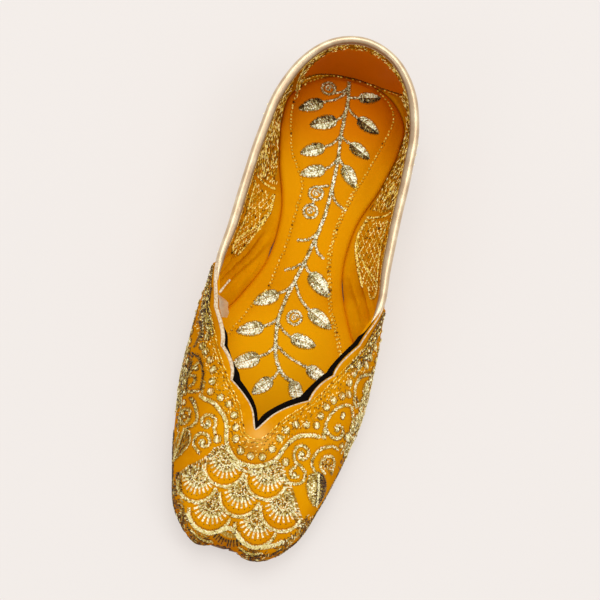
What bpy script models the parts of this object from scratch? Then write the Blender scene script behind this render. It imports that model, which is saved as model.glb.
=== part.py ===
"""Embroidered slip-on flat: a low-heeled jutti-style ballet flat, standing empty on its sole.

Frame: metres, +Z up, toe towards -Y, heel towards +Y, origin on the floor under the middle of the shoe.
The shoe is worked out as a maker lasts it. SECTIONS holds one rib of the last per row, from the feather
line, where the upper meets the sole, over the swell of the wall to its top edge. Every piece is cut from
that same form. The tables and sizes below are in millimetres.
"""

import math
from collections import namedtuple

import bpy
import numpy as np

MM = 0.001

# Driving sizes.
WALL = 2.0  # leather, padding and lining of the quarters
OVERLAY = 0.8  # the vamp is lapped over the quarters and stands this much proud
GAP = 0.3  # faceted pieces that touch keep this distance
SOLE_THICK = 4.0
SOLE_LEDGE = 0.6  # the sole shows this much outside the feather line
HEEL_LIFT = 7.0  # height of the lift under the heel seat
HEEL_BREAST_Y = 62.0  # front face of the lift
SHANK_REAR_Y, SHANK_FRONT_Y = 57.0, -12.0  # the sole slopes down between these
TOE_SPRING_Y, TOE_SPRING = -76.0, 3.2  # the toe lifts off the floor in front of this
TOE_END_Y = -125.0
INSOLE_THICK = 3.0
INSOLE_CROWN = 0.9  # the padding stands up along the middle
INSOLE_INSET = 0.5  # clearance between the insole and the inside of the wall
INSOLE_SHORT = 4.0  # the insole stops this much short of the tucked toe
INSOLE_ROLL = 1.0  # height of its rolled upper edge
INSOLE_ENDS = 7.0, 9.0  # it starts and stops this far along the feather line from the heel and the toe
MIDDLE = (0.1, -0.7)  # the middle of the finished shoe, where the origin goes, in the table's measure
NOTCH_X = -3.5  # the toe tuck and the point of the throat lie a little off the middle
TUCK_DEPTH, TUCK_HALF_WIDTH = 3.6, 9.0
TUCK_START_Y, TUCK_FULL_Y = -98.0, -112.0  # the pleat deepens between these
TUCK_FADE = 0.5, 0.95  # and fades out between these shares of the way up the wall
BINDING_SKIN = 0.7  # folded strip of metallic leather round the collar
BINDING_CROWN = 1.5  # its rolled edge above the rim
BINDING_OUTER_LEG, BINDING_INNER_LEG = 2.4, 4.0
BINDING_BULGE = 0.6  # it is padded out this much on the inside

# How finely each zone of one side is cut, and the levels up the wall.
QUARTER_CUTS, LOBE_CUTS, TOE_CUTS = 20, 5, 13
LEVELS, LEVEL_SPACING = 12, 0.9  # a spacing under 1 sets the levels wider apart near the sole
SOLE_RUNGS, LIFT_RUNGS, INSOLE_RUNGS, BINDING_STOPS = 54, 18, 44, 24
LAP_STEP = 0.8  # the step where the vamp laps over the quarter is this long
BROW_OUT = 20.0  # weight of straight outwards, against towards the foot, in the way the wall arrives

Section = namedtuple(
    "Section",
    "name foot_x foot_y swell_out swell_up top_x top_y top_z brow_out brow_drop foot_shift top_shift",
)
# foot: the feather line.  swell: how the wall leaves it.  top: the collar, the throat or the ridge of the
# vamp.  brow: how the wall arrives there.  shift: how far the rib's end sits off the middle line.
SECTIONS = [
    Section("heel_back", 0.0, 123.2, 2.5, 13.0, 0.0, 124.3, 52.2, 1.5, 14.0, 0.0, -0.8),
    Section("heel_corner", 22.5, 116.6, 3.0, 13.0, 19.2, 116.9, 51.4, 2.0, 14.0, 0.0, -0.7),
    Section("heel_side", 32.2, 103.0, 3.5, 12.0, 29.6, 103.6, 49.2, 3.0, 14.0, 0.0, -0.6),
    Section("heel_front", 32.6, 90.0, 5.0, 10.0, 34.7, 90.0, 46.6, 3.0, 14.0, 0.0, -0.8),
    Section("shank_rear", 28.6, 69.0, 9.0, 7.0, 37.3, 68.0, 43.4, 2.0, 13.0, 0.0, -1.2),
    Section("waist", 20.6, 42.0, 14.0, 6.0, 38.3, 42.0, 41.0, 1.0, 13.0, 0.0, -1.5),
    Section("shank_front", 21.2, 17.0, 17.0, 6.0, 39.0, 18.0, 40.0, 2.0, 14.0, 0.0, -1.2),
    Section("wing", 28.5, -1.0, 19.0, 7.0, 39.8, 0.0, 39.8, 4.0, 15.0, 0.2, -1.0),
    Section("instep", 37.2, -18.0, 12.0, 9.0, 35.4, -16.0, 40.6, 7.0, 12.0, 0.4, -1.6),
    Section("ball", 41.4, -37.0, 8.0, 11.0, 25.6, -36.0, 41.2, 11.5, 8.0, 0.5, -2.0),
    Section("joint", 41.4, -55.0, 7.0, 12.0, 15.2, -52.0, 40.6, 15.0, 5.0, 0.4, -1.7),
    Section("throat_low", 40.0, -64.0, 7.0, 12.0, 4.7, -63.0, 39.9, 21.0, 2.0, 0.3, -2.4),
    Section("throat_tip", 38.6, -72.0, 7.0, 13.0, 0.0, -71.5, 38.9, 24.0, 1.0, 0.2, -3.5),
    Section("toe_shoulder", 32.8, -94.5, 7.5, 13.0, 0.0, -81.0, 35.3, 23.0, 3.5, 0.0, -3.5),
    Section("toe_corner", 25.8, -112.2, 9.0, 12.0, 0.0, -90.0, 31.6, 20.0, 5.0, -0.2, -3.5),
    Section("toe_front", 16.4, -120.2, 11.5, 10.5, 0.0, -97.5, 28.5, 17.0, 6.0, -0.2, -3.5),
    Section("toe_centre", 0.0, -122.8, 9.5, 10.0, 0.0, -101.0, 27.0, 15.0, 6.2, -1.5, -3.5),
]
ROWS = {section.name: index for index, section in enumerate(SECTIONS)}

Cusp = namedtuple("Cusp", "row depth")
# The throat is cut in lobes: a cusp at each of these places, so deep into the vamp, in row numbers.
THROAT_CUSPS = [
    Cusp(ROWS["wing"], 0.0),
    Cusp(ROWS["instep"] + 0.27, 1.6),
    Cusp(ROWS["ball"] + 0.12, 2.2),
    Cusp(ROWS["joint"], 3.0),
    Cusp(ROWS["throat_tip"], 0.0),
]


def smoothstep(low, high, x):
    t = np.clip((x - low) / (high - low), 0.0, 1.0)
    return t * t * (3.0 - 2.0 * t)


def sole_top(y):
    """Height of the top of the outsole, and so of the feather line: heel seat, shank, tread, toe spring."""
    seat = HEEL_LIFT * smoothstep(SHANK_FRONT_Y, SHANK_REAR_Y, y)
    spring = TOE_SPRING * np.clip((TOE_SPRING_Y - y) / (TOE_SPRING_Y - TOE_END_Y), 0.0, 1.2) ** 2
    return SOLE_THICK + seat + spring


# The ribs, read at any place along the feather line.

ODD = ("foot_x", "top_x")  # these change sign when the table is carried on past the heel or the toe


def carried_on(name):
    """A column with two rows mirrored on at each end, so that the form closes smoothly there."""
    values = [getattr(section, name) for section in SECTIONS]
    sign = -1.0 if name in ODD else 1.0
    return np.array([sign * values[2], sign * values[1], *values, sign * values[-2], sign * values[-3]])


def knots():
    """Distance along the feather line of each row."""
    x, y = carried_on("foot_x"), carried_on("foot_y")
    steps = np.hypot(np.diff(x), np.diff(y))
    places = np.concatenate([[0.0], np.cumsum(steps)])
    return places - places[2]


KNOTS = knots()


def place_of_row(row):
    """Distance along the feather line of a row number, which may lie between two rows."""
    return float(np.interp(row, range(-2, len(SECTIONS) + 2), KNOTS))


def column(name, place):
    """A smooth curve through a column of the table, read at distances along the feather line."""
    values = carried_on(name)
    slopes = np.zeros(len(values))
    for i in range(1, len(values) - 1):
        before, after = KNOTS[i] - KNOTS[i - 1], KNOTS[i + 1] - KNOTS[i]
        rise_before = (values[i] - values[i - 1]) / before
        rise_after = (values[i + 1] - values[i]) / after
        slopes[i] = (rise_before * after + rise_after * before) / (before + after)
    i = np.clip(np.searchsorted(KNOTS, place, side="right") - 1, 1, len(KNOTS) - 3)
    width = KNOTS[i + 1] - KNOTS[i]
    t = (place - KNOTS[i]) / width
    start, end = 2 * t**3 - 3 * t**2 + 1, 3 * t**2 - 2 * t**3
    return (
        start * values[i]
        + end * values[i + 1]
        + (t**3 - 2 * t**2 + t) * width * slopes[i]
        + (t**3 - t**2) * width * slopes[i + 1]
    )


def feather(place, side):
    """The feather line in plan, and its outward normal. side is 1 for the right, -1 for the left."""
    step = 0.2

    def point(at):
        x = side * column("foot_x", at) + column("foot_shift", at)
        return np.stack([x, column("foot_y", at)], axis=-1)

    along = point(place + step) - point(place - step)
    along /= np.linalg.norm(along, axis=-1, keepdims=True)
    normal = np.stack([-along[..., 1], along[..., 0]], axis=-1) * side
    return point(place), normal


def rib(place, side):
    """The four control points of the rib at a place on the feather line."""
    foot, normal = feather(place, side)
    foot_z = sole_top(foot[1]) + GAP
    top = np.array([side * column("top_x", place) + column("top_shift", place), column("top_y", place)])
    top_z = column("top_z", place)
    brow = (foot - top) + normal * BROW_OUT  # towards the foot, or straight out where the wall stands upright
    brow /= np.linalg.norm(brow)
    swell = foot + normal * column("swell_out", place)
    arrive = top + brow * column("brow_out", place)
    return np.array(
        [
            [*foot, foot_z],
            [*swell, foot_z + column("swell_up", place)],
            [*arrive, top_z - column("brow_drop", place)],
            [*top, top_z],
        ]
    )


def on_rib(points, t):
    weights = np.array([(1 - t) ** 3, 3 * t * (1 - t) ** 2, 3 * t**2 * (1 - t), t**3])
    return weights @ points


def throat_cut(place):
    """How far the lobed throat is cut back from the top of the rib, in millimetres along it."""
    places = [place_of_row(cusp.row) for cusp in THROAT_CUSPS]
    if not places[0] <= place <= places[-1]:
        return 0.0
    i = min(max(int(np.searchsorted(places, place, side="right")) - 1, 0), len(places) - 2)
    share = (place - places[i]) / (places[i + 1] - places[i])
    depth = THROAT_CUSPS[i].depth * (1 - share) + THROAT_CUSPS[i + 1].depth * share
    return depth * (2.0 * share - 1.0) ** 2


def wall_point(place, side, t):
    """A point of the wall, t of the way up its rib, with the pleat pinched into the front of the toe."""
    point = on_rib(rib(place, side), t)
    away = abs(point[0] - NOTCH_X) / TUCK_HALF_WIDTH
    at_front = smoothstep(TUCK_START_Y, TUCK_FULL_Y, point[1])
    fade = 1.0 - smoothstep(*TUCK_FADE, t)
    point[1] += TUCK_DEPTH * math.exp(-(away**3)) * at_front * fade
    return point


def wall_normal(place, side, t):
    """Which way the wall faces there. It stands square on the sole, and along the ridge it faces straight
    up the middle, so that its two sides meet."""
    inner_t = min(t, 0.98)  # the ridge itself stands still where it ends
    along = wall_point(place + 0.5, side, inner_t) - wall_point(place - 0.5, side, inner_t)
    low, high = max(t - 0.01, 0.0), min(t + 0.01, 1.0)
    up = wall_point(place, side, high) - wall_point(place, side, low)
    normal = np.cross(up, along) * side
    if t == 0.0:
        normal[2] = 0.0
    if t == 1.0 and place >= place_of_row(ROWS["throat_tip"]):
        normal[0] = 0.0
    return normal / np.linalg.norm(normal)


def wall_column(place, side):
    """Points up the outside of the wall at one place, from the feather line to the edge, with normals."""
    points = rib(place, side)
    speed = 3.0 * np.linalg.norm(points[3] - points[2])
    last = 1.0 - throat_cut(place) / speed
    ts = np.linspace(0.0, 1.0, LEVELS) ** LEVEL_SPACING * last
    return [(wall_point(place, side, t), wall_normal(place, side, t)) for t in ts]


def places_of_side():
    """Where one side is cut, heel to toe, and the number of cuts in the quarter and up to the throat's tip."""
    wing, tip = place_of_row(ROWS["wing"]), place_of_row(ROWS["throat_tip"])
    quarter = list(np.linspace(0.0, wing, QUARTER_CUTS + 1))
    lap = [wing + LAP_STEP]
    throat = []
    for first, second in zip(THROAT_CUSPS, THROAT_CUSPS[1:]):
        cuts = np.linspace(place_of_row(first.row), place_of_row(second.row), LOBE_CUTS + 1)[1:]
        throat.extend(cuts)
    toe = list(np.linspace(tip, place_of_row(ROWS["toe_centre"]), TOE_CUTS + 1)[1:])
    return quarter, lap + throat, toe


# Meshes.


def material(name, colour, roughness, metallic=0.0):
    made = bpy.data.materials.new(name)
    made.use_nodes = True
    shader = made.node_tree.nodes["Principled BSDF"]
    shader.inputs["Base Color"].default_value = (*colour, 1.0)
    shader.inputs["Roughness"].default_value = roughness
    shader.inputs["Metallic"].default_value = metallic
    return made


def solid(name, points, faces, finish, crease_deg=40.0):
    """An object from points in the table's own measure and the faces between them."""
    placed = (np.array(points, dtype=float) - (*MIDDLE, 0.0)) * MM
    mesh = bpy.data.meshes.new(name)
    mesh.from_pydata(placed.tolist(), [], faces)
    mesh.validate()
    mesh.shade_smooth()
    mesh.set_sharp_from_angle(angle=math.radians(crease_deg))
    mesh.materials.append(finish)
    made = bpy.data.objects.new(name, mesh)
    bpy.context.scene.collection.objects.link(made)
    return made


def flip(faces):
    return [tuple(reversed(face)) for face in faces]


def upper(finish):
    """The hollow upper: both sides from heel to toe, joined along the ridge in front of the throat."""
    quarter, throat, toe = places_of_side()
    places = quarter + throat + toe
    tip = len(quarter) + len(throat) - 1  # the last column whose top is the open edge
    top = LEVELS - 1
    outer, inner, ids = [], [], {}
    for side in (1, -1):
        for c, place in enumerate(places):
            lap = 0.0 if c < len(quarter) else OVERLAY
            middle = c in (0, len(places) - 1)  # heel and toe centre lines, which both sides share
            column = None if side == -1 and middle else wall_column(place, side)
            for level in range(LEVELS):
                if side == -1 and (middle or (level == top and c >= tip)):
                    ids[side, c, level] = ids[1, c, level]
                    continue
                point, normal = column[level]
                ids[side, c, level] = len(outer)
                outer.append(point + normal * lap)
                inner.append(point - normal * WALL)

    def sheet(corners_of):
        """Faces over both sides, from a function that gives the corners for a side, column and level."""
        faces = []
        for side in (1, -1):
            cells = corners_of(side)
            faces.extend(cells if side == 1 else flip(cells))
        return faces

    def skin(side):
        cells = []
        for c in range(len(places) - 1):
            for level in range(top):
                low, high = (ids[side, c, level], ids[side, c, level + 1])
                low_next, high_next = (ids[side, c + 1, level], ids[side, c + 1, level + 1])
                cells.append((low, high, high_next, low_next))
        return cells

    def rims(side):
        cells = []
        for c in range(len(places) - 1):
            low, low_next = ids[side, c, 0], ids[side, c + 1, 0]
            cells.append((low, low_next, low_next + count, low + count))
            if c < tip:
                high, high_next = ids[side, c, top], ids[side, c + 1, top]
                cells.append((high_next, high, high + count, high_next + count))
        return cells

    count = len(outer)
    outside = sheet(skin)
    inside = [tuple(reversed([i + count for i in face])) for face in outside]
    points = np.array(outer + inner)
    feet = sorted({ids[side, c, 0] for side in (1, -1) for c in range(len(places))})
    feet = np.array(feet + [i + count for i in feet])
    points[feet, 2] = sole_top(points[feet, 1]) + GAP
    return solid("upper", points, outside + inside + sheet(rims), finish)


def slab(name, rungs, finish):
    """A solid from rungs across the shoe, heel to toe: each rung is a ring of points, right edge over to
    the left edge along the top, and back along the underside. The two end rungs are closed with caps."""
    ring = len(rungs[0])
    points = [p for rung in rungs for p in rung]
    faces = []
    for r in range(len(rungs) - 1):
        for k in range(ring):
            after = (k + 1) % ring
            faces.append((r * ring + k, (r + 1) * ring + k, (r + 1) * ring + after, r * ring + after))
    faces.append(tuple(range(ring)))
    last = (len(rungs) - 1) * ring
    faces.append(tuple(reversed(range(last, last + ring))))
    return solid(name, points, faces, finish)


def edge_pair(place, inset):
    """The right and left edge points of a flat piece, so far inside the feather line."""
    pair = []
    for side in (1, -1):
        point, normal = feather(place, side)
        pair.append(point - normal * inset)
    return pair


END = 1.2  # the sole starts and ends this far along the feather line, where its two edges still part


def sole_rung(place, profile, height, thick):
    """One rung whose side follows a profile of (inset, share of the thickness), top to bottom."""
    right, left = [], []
    for inset, share in profile:
        for edge, (x, y) in zip((right, left), edge_pair(place, inset)):
            edge.append((x, y, height(y) - share * thick))
    return right + left[::-1]


def outsole(finish):
    profile = [(-SOLE_LEDGE + 0.4, 0.0), (-SOLE_LEDGE, 0.15), (-SOLE_LEDGE, 0.8), (-SOLE_LEDGE + 0.7, 1.0)]
    ends = place_of_row(ROWS["toe_centre"])
    places = np.linspace(END, ends - END, SOLE_RUNGS)
    rungs = [sole_rung(place, profile, sole_top, SOLE_THICK) for place in places]
    return slab("outsole", rungs, finish)


def heel_lift(finish):
    profile = [(-0.1, 0.0), (0.1, 0.75), (0.7, 1.0)]
    breast = place_where_foot_y(HEEL_BREAST_Y)
    top = HEEL_LIFT - GAP
    rungs = [sole_rung(place, profile, lambda y: top, top) for place in np.linspace(END, breast, LIFT_RUNGS)]
    return slab("heel_lift", rungs, finish)


def place_where_foot_y(y):
    places = np.linspace(0.0, place_of_row(ROWS["waist"]), 400)
    return float(np.interp(-y, -column("foot_y", places), places))


def insole_inset(y):
    return WALL + INSOLE_INSET + INSOLE_SHORT * float(smoothstep(-100.0, -120.0, y))


def insole(finish):
    """The padded insole, crowned along the middle, with a rolled upper edge."""
    ends = place_of_row(ROWS["toe_centre"])
    across = [0.93, 0.5, 0.0, -0.5, -0.93]  # shares of the half width; the first and last start the roll
    rungs = []
    for place in np.linspace(INSOLE_ENDS[0], ends - INSOLE_ENDS[1], INSOLE_RUNGS):
        inset = insole_inset(column("foot_y", place))
        (rx, ry), (lx, ly) = edge_pair(place, inset)
        low = sole_top(ry) + GAP
        high = low + INSOLE_THICK
        ring = [(rx, ry, low), (rx, ry, high - INSOLE_ROLL)]
        for share in across:
            x = (rx + lx) / 2 + share * (rx - lx) / 2
            ring.append((x, (ry + ly) / 2, high + INSOLE_CROWN * (1 - share**2)))
        ring += [(lx, ly, high - INSOLE_ROLL), (lx, ly, low)]
        rungs.append(ring[::-1])
    return slab("insole", rungs, finish)


def collar_binding(finish):
    """A strip folded over the rim of the quarters, from one wing of the vamp round the heel to the other."""
    half = WALL / 2
    inside, outside = half + GAP, half + GAP + BINDING_SKIN
    profile = [
        (outside, -BINDING_OUTER_LEG),
        (outside + 0.1, 0.0),
        (outside * 0.75, BINDING_CROWN * 0.75),
        (0.0, BINDING_CROWN),
        (-outside * 0.75 - BINDING_BULGE, BINDING_CROWN * 0.75),
        (-outside - 0.1 - BINDING_BULGE, 0.0),
        (-outside - BINDING_BULGE / 2, -BINDING_INNER_LEG),
        (-inside, -BINDING_INNER_LEG),
        (-inside, GAP),
        (inside, GAP),
        (inside, -BINDING_OUTER_LEG),
    ]
    wing = place_of_row(ROWS["wing"]) - 1.5
    stops = [(place, 1) for place in np.linspace(wing, 0.0, BINDING_STOPS)]
    stops += [(place, -1) for place in np.linspace(0.0, wing, BINDING_STOPS)[1:]]
    frames = []
    for place, side in stops:
        points = rib(place, side)
        up = points[3] - on_rib(points, 0.93)
        frames.append((points[3], up / np.linalg.norm(up)))
    rungs = []
    for i, (top, up) in enumerate(frames):
        before, after = frames[max(i - 1, 0)][0], frames[min(i + 1, len(frames) - 1)][0]
        along = (after - before) / np.linalg.norm(after - before)
        out = np.cross(along, up)
        out /= np.linalg.norm(out)
        middle = top - out * half
        rungs.append([middle + out * n + up * u for n, u in profile])
    return slab("collar_binding", rungs, finish)


def main():
    for old in list(bpy.data.objects):
        bpy.data.objects.remove(old)
    ochre = material("ochre_leather", (0.80, 0.36, 0.01), 0.45)
    tan = material("tan_sole_leather", (0.42, 0.24, 0.12), 0.6)
    rose_gold = material("rose_gold_binding", (0.83, 0.62, 0.47), 0.3, metallic=0.7)
    outsole(tan)
    heel_lift(tan)
    insole(ochre)
    upper(ochre)
    collar_binding(rose_gold)


main()
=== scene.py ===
import math

import bmesh
import bpy
import numpy as np
from mathutils import Matrix, Vector
from mathutils.bvhtree import BVHTree


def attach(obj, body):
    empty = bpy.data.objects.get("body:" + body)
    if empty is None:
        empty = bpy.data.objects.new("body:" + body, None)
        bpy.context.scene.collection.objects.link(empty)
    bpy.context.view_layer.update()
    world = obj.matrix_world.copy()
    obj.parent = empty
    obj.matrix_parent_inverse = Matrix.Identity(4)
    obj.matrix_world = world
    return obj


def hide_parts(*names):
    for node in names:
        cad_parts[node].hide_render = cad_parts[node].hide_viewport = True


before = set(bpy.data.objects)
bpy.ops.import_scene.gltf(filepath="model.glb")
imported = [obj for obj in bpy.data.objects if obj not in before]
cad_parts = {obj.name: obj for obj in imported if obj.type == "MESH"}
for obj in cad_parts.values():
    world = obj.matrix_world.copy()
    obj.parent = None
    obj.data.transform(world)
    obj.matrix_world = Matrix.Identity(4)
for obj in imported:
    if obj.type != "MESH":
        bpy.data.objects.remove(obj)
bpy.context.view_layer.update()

# A right-hand jutti flat, worked out in millimetres and turned to metres where a mesh is made.
mm = 0.001
scene = bpy.context.scene


# Camera, light and floor

studio = {
    "cameraAt": (-12, -179.2, 627.9),
    "looksAt": (1.2, -1.5, 22),
    "shoeLean": 14.9,  # degrees that the shoe leans to the right, seen through the camera
    "lens": 79.2, "sensor": 36, "nearest": 0.01,
    "floorSize": 2.4,
    "worldColour": "#ffffff", "worldStrength": 0.66,
    "lightsAimAt": (0, 0, 0.02),
    # white soft boxes: (position in metres, size, watts)
    "lights": {
        "key_softbox": ((1.00, 0.05, 1.5), 0.6, 3.6),
        "overhead_softbox": ((-0.1, 0.42, 1.35), 0.95, 7.4),
        "front_fill": ((-0.75, -0.85, 0.75), 0.5, 1.4),
    },
}


def linear(hexColour):
    parts = [int(hexColour[i:i + 2], 16) / 255 for i in (1, 3, 5)]
    return tuple(c / 12.92 if c <= 0.04045 else ((c + 0.055) / 1.055) ** 2.4 for c in parts) + (1,)


def setSockets(tree, node, sockets):
    # an output, or a node's first live one, is linked to its socket, and any other value is the socket's own
    for socket, value in sockets.items():
        if isinstance(value, bpy.types.Node):
            value = next(output for output in value.outputs if output.enabled)
        if isinstance(value, bpy.types.NodeSocket):
            tree.links.new(value, node.inputs[socket])
        else:
            node.inputs[socket].default_value = value


def addNode(tree, kind, sockets=None, stops=(), **settings):
    node = tree.nodes.new(kind)
    for key, value in settings.items():
        setattr(node, key, value)
    for number, (place, colour) in enumerate(stops):  # a ramp's colours
        bar = node.color_ramp.elements
        element = bar[number] if number < len(bar) else bar.new(place)
        element.position, element.color = place, linear(colour)
    setSockets(tree, node, sockets or {})
    return node


def aimCamera():
    camera = bpy.data.objects.new("camera", bpy.data.cameras.new("camera"))
    scene.collection.objects.link(camera)
    place, target = Vector(studio["cameraAt"]) * mm, Vector(studio["looksAt"]) * mm
    back = (place - target).normalized()
    heelwards = Vector((0, 1, 0)) - back * back.y
    heelwards.normalize()
    up = Matrix.Rotation(math.radians(studio["shoeLean"]), 3, back) @ heelwards
    turned = Matrix((up.cross(back), up, back)).transposed().to_4x4()
    camera.matrix_world = Matrix.Translation(place) @ turned
    camera.data.lens, camera.data.sensor_width = studio["lens"], studio["sensor"]
    camera.data.clip_start = studio["nearest"]
    scene.camera = camera


def hangLights():
    for name, (place, size, watts) in studio["lights"].items():
        data = bpy.data.lights.new(name, "AREA")
        data.shape, data.size, data.energy = "SQUARE", size, watts
        light = bpy.data.objects.new(name, data)
        light.location = place
        away = Vector(place) - Vector(studio["lightsAimAt"])
        light.rotation_euler = away.to_track_quat("Z", "Y").to_euler()
        scene.collection.objects.link(light)
    world = bpy.data.worlds.new("studio")
    world.use_nodes = True
    setSockets(world.node_tree, world.node_tree.nodes["Background"],
               {"Color": linear(studio["worldColour"]), "Strength": studio["worldStrength"]})
    scene.world = world
    scene.view_settings.view_transform = "Standard"


def layFloor(paper):
    half = studio["floorSize"] / 2
    mesh = bpy.data.meshes.new("floor")
    mesh.from_pydata([(-half, -half, 0), (half, -half, 0), (half, half, 0), (-half, half, 0)], [],
                     [(0, 1, 2, 3)])
    mesh.materials.append(paper)
    floor = bpy.data.objects.new("floor", mesh)
    scene.collection.objects.link(floor)


# Materials: each pattern's scale is one over its size

def startMaterial(name):
    made = bpy.data.materials.new(name)
    made.use_nodes = True
    tree = made.node_tree
    spot = addNode(tree, "ShaderNodeTexCoord").outputs["Object"]
    return made, tree, tree.nodes["Principled BSDF"], spot


def mattePaper():
    # a translucent table lit a little from below: flat and pale, with faint soft shadows and no gloss
    made, tree, shader, spot = startMaterial("backdrop_paper")
    mottle = addNode(tree, "ShaderNodeTexNoise", {"Vector": spot, "Scale": 3, "Detail": 2})
    tint = addNode(tree, "ShaderNodeMix", {"Factor": mottle, "A": linear("#9b9794"), "B": linear("#9f9b98")},
                   data_type="RGBA")
    setSockets(tree, shader, {"Base Color": tint, "Roughness": 0.9, "Specular IOR Level": 0.1,
                              "Emission Color": linear("#f3ede9"), "Emission Strength": 0.59})
    return made


leathers = {
    # goat leather dyed through: matt and mustard yellow, with a fine pebbled grain, and painted shade, brown,
    # where it turns away from the light
    "mustard_goat_leather": {
        "deep": "#d68801", "colour": "#e39802", "pale": "#eda410", "paintedLight": "#ffc668", "inShade": "#ae6004",
        "roughness": 0.36, "gloss": 0, "shine": "#ffb52e",
        "grain": 0.9, "grainDepth": 0.05, "creaseSize": 16, "creaseDepth": 0.12,
    },
    # the sock over the padding: the same hide, pressed flat and polished by wear, with a golden shine
    "pressed_sock_leather": {
        "deep": "#dc8d01", "colour": "#e69902", "pale": "#eca00a", "paintedLight": "#ffba06", "inShade": "#d06200",
        "roughness": 0.4, "gloss": 0.24, "shine": "#ffae1c",
        "grain": 0.8, "grainDepth": 0.03, "creaseSize": 24, "creaseDepth": 0.08,
    },
}


def leather(name):
    look = leathers[name]
    made, tree, shader, spot = startMaterial(name)
    cloud, fine = (addNode(tree, "ShaderNodeTexNoise",
                           {"Vector": spot, "Scale": 1 / (size * mm), "Detail": detail})
                   for size, detail in ((look["creaseSize"], 4), (look["grain"] * 2.5, 3)))
    pebble = addNode(tree, "ShaderNodeTexVoronoi", {"Vector": spot, "Scale": 1 / (look["grain"] * mm),
                                                    "Smoothness": 0.6}, feature="SMOOTH_F1")
    shade = addNode(tree, "ShaderNodeMapRange", {"Value": cloud, "From Min": 0.32, "From Max": 0.6})
    glow = addNode(tree, "ShaderNodeMapRange",
                   {"Value": fine, "From Min": 0.52, "From Max": 0.8, "To Max": 0.6})
    # attributes mark a painted highlight, where the dye is drawn pale, and painted shade, where the hide is
    # drawn dark brown
    paintedLightMask, paintedShade = (addNode(tree, "ShaderNodeAttribute", attribute_name=key).outputs["Fac"]
                        for key in ("paintedLightMask", "paintedShade"))
    tint = linear(look["deep"])
    for share, key in ((shade, "colour"), (glow, "pale"), (paintedLightMask, "paintedLight"), (paintedShade, "inShade")):
        tint = addNode(tree, "ShaderNodeMix", {"Factor": share, "A": tint, "B": linear(look[key])},
                       data_type="RGBA")
    rough = addNode(tree, "ShaderNodeMapRange",
                    {"Value": fine, "To Min": look["roughness"] - 0.06, "To Max": look["roughness"] + 0.1})
    pulls = addNode(tree, "ShaderNodeBump",
                    {"Height": cloud, "Strength": look["creaseDepth"], "Distance": 1.2 * mm})
    grain = addNode(tree, "ShaderNodeBump", {"Height": pebble, "Strength": look["grainDepth"] * 6,
                                             "Distance": 0.12 * mm, "Normal": pulls})
    setSockets(tree, shader, {"Base Color": tint, "Roughness": rough, "Normal": grain,
                              "Specular IOR Level": look["gloss"], "Specular Tint": linear(look["shine"])})
    return made


# zari: flat metal strip wound on cotton, from the shaded strand to the one that catches the light
threadStops = (0, 0.2, 0.42, 0.62, 0.82, 1)
threads = {
    "warm_gold_zari": ("#1e0f04", "#6a4210", "#a07a24", "#c6ab4c", "#dccc8a", "#f4f0cc"),
    "pale_gold_zari": ("#241403", "#6a4a18", "#9c8544", "#c0b67c", "#dfdbb0", "#f4f8e4"),
    "yellow_gold_zari": ("#3a1a02", "#7c4e04", "#b98808", "#ddae1a", "#eece50", "#f8ec9c"),
}


def goldThread(name):
    # wound metal thread: a soft metal gleam, and fine turns that break its light into sparks
    made, tree, shader, spot = startMaterial(name)
    tone = addNode(tree, "ShaderNodeAttribute", attribute_name="tone").outputs["Fac"]
    wound = addNode(tree, "ShaderNodeTexNoise", {"Vector": spot, "Scale": 1 / (0.5 * mm), "Detail": 2})
    spread = addNode(tree, "ShaderNodeMath", {0: wound, 1: 0.3, 2: -0.15}, operation="MULTIPLY_ADD")
    level = addNode(tree, "ShaderNodeMath", {0: tone, 1: spread}, operation="ADD")
    tint = addNode(tree, "ShaderNodeValToRGB", {"Fac": level}, zip(threadStops, threads[name]))
    # painted glints: the brightest threads glow with their own colour, brighter than the lamps alone make them
    paintedGlow = addNode(tree, "ShaderNodeMapRange",
                    {"Value": level, "From Min": 0.55, "From Max": 1, "To Max": 0.4})
    bump = addNode(tree, "ShaderNodeBump", {"Height": wound, "Strength": 0.35, "Distance": 0.15 * mm})
    setSockets(tree, shader, {"Base Color": tint, "Metallic": 0.18, "Roughness": 0.36,
                              "Specular IOR Level": 0.3, "Emission Color": tint, "Emission Strength": paintedGlow,
                              "Normal": bump})
    return made


def champagneFoil():
    # foiled binding leather: pale champagne, soft metal gleam, tiny cracks in the foil
    made, tree, shader, spot = startMaterial("champagne_foil_leather")
    cracks = addNode(tree, "ShaderNodeTexVoronoi", {"Vector": spot, "Scale": 1 / (0.8 * mm)})
    rub = addNode(tree, "ShaderNodeTexNoise", {"Vector": spot, "Scale": 1 / (7 * mm), "Detail": 4})
    tint = addNode(tree, "ShaderNodeValToRGB", {"Fac": rub},
                   [(0.3, "#cdaf8c"), (0.5, "#dec4a0"), (0.72, "#f2deba")])
    # the turned attribute paints shade, dark brown, on the folded sides and the flanks of the bead, lightest on
    # its crown
    turned = addNode(tree, "ShaderNodeAttribute", attribute_name="turned").outputs["Fac"]
    paintedLight = addNode(tree, "ShaderNodeMix", {"Factor": turned, "A": tint, "B": linear("#7d5630")},
                   data_type="RGBA")
    rough = addNode(tree, "ShaderNodeMapRange", {"Value": rub, "To Min": 0.27, "To Max": 0.36})
    bump = addNode(tree, "ShaderNodeBump", {"Height": cracks, "Strength": 0.25, "Distance": 0.12 * mm})
    setSockets(tree, shader, {"Base Color": paintedLight, "Metallic": 0.55, "Roughness": rough, "Normal": bump})
    return made


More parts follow.
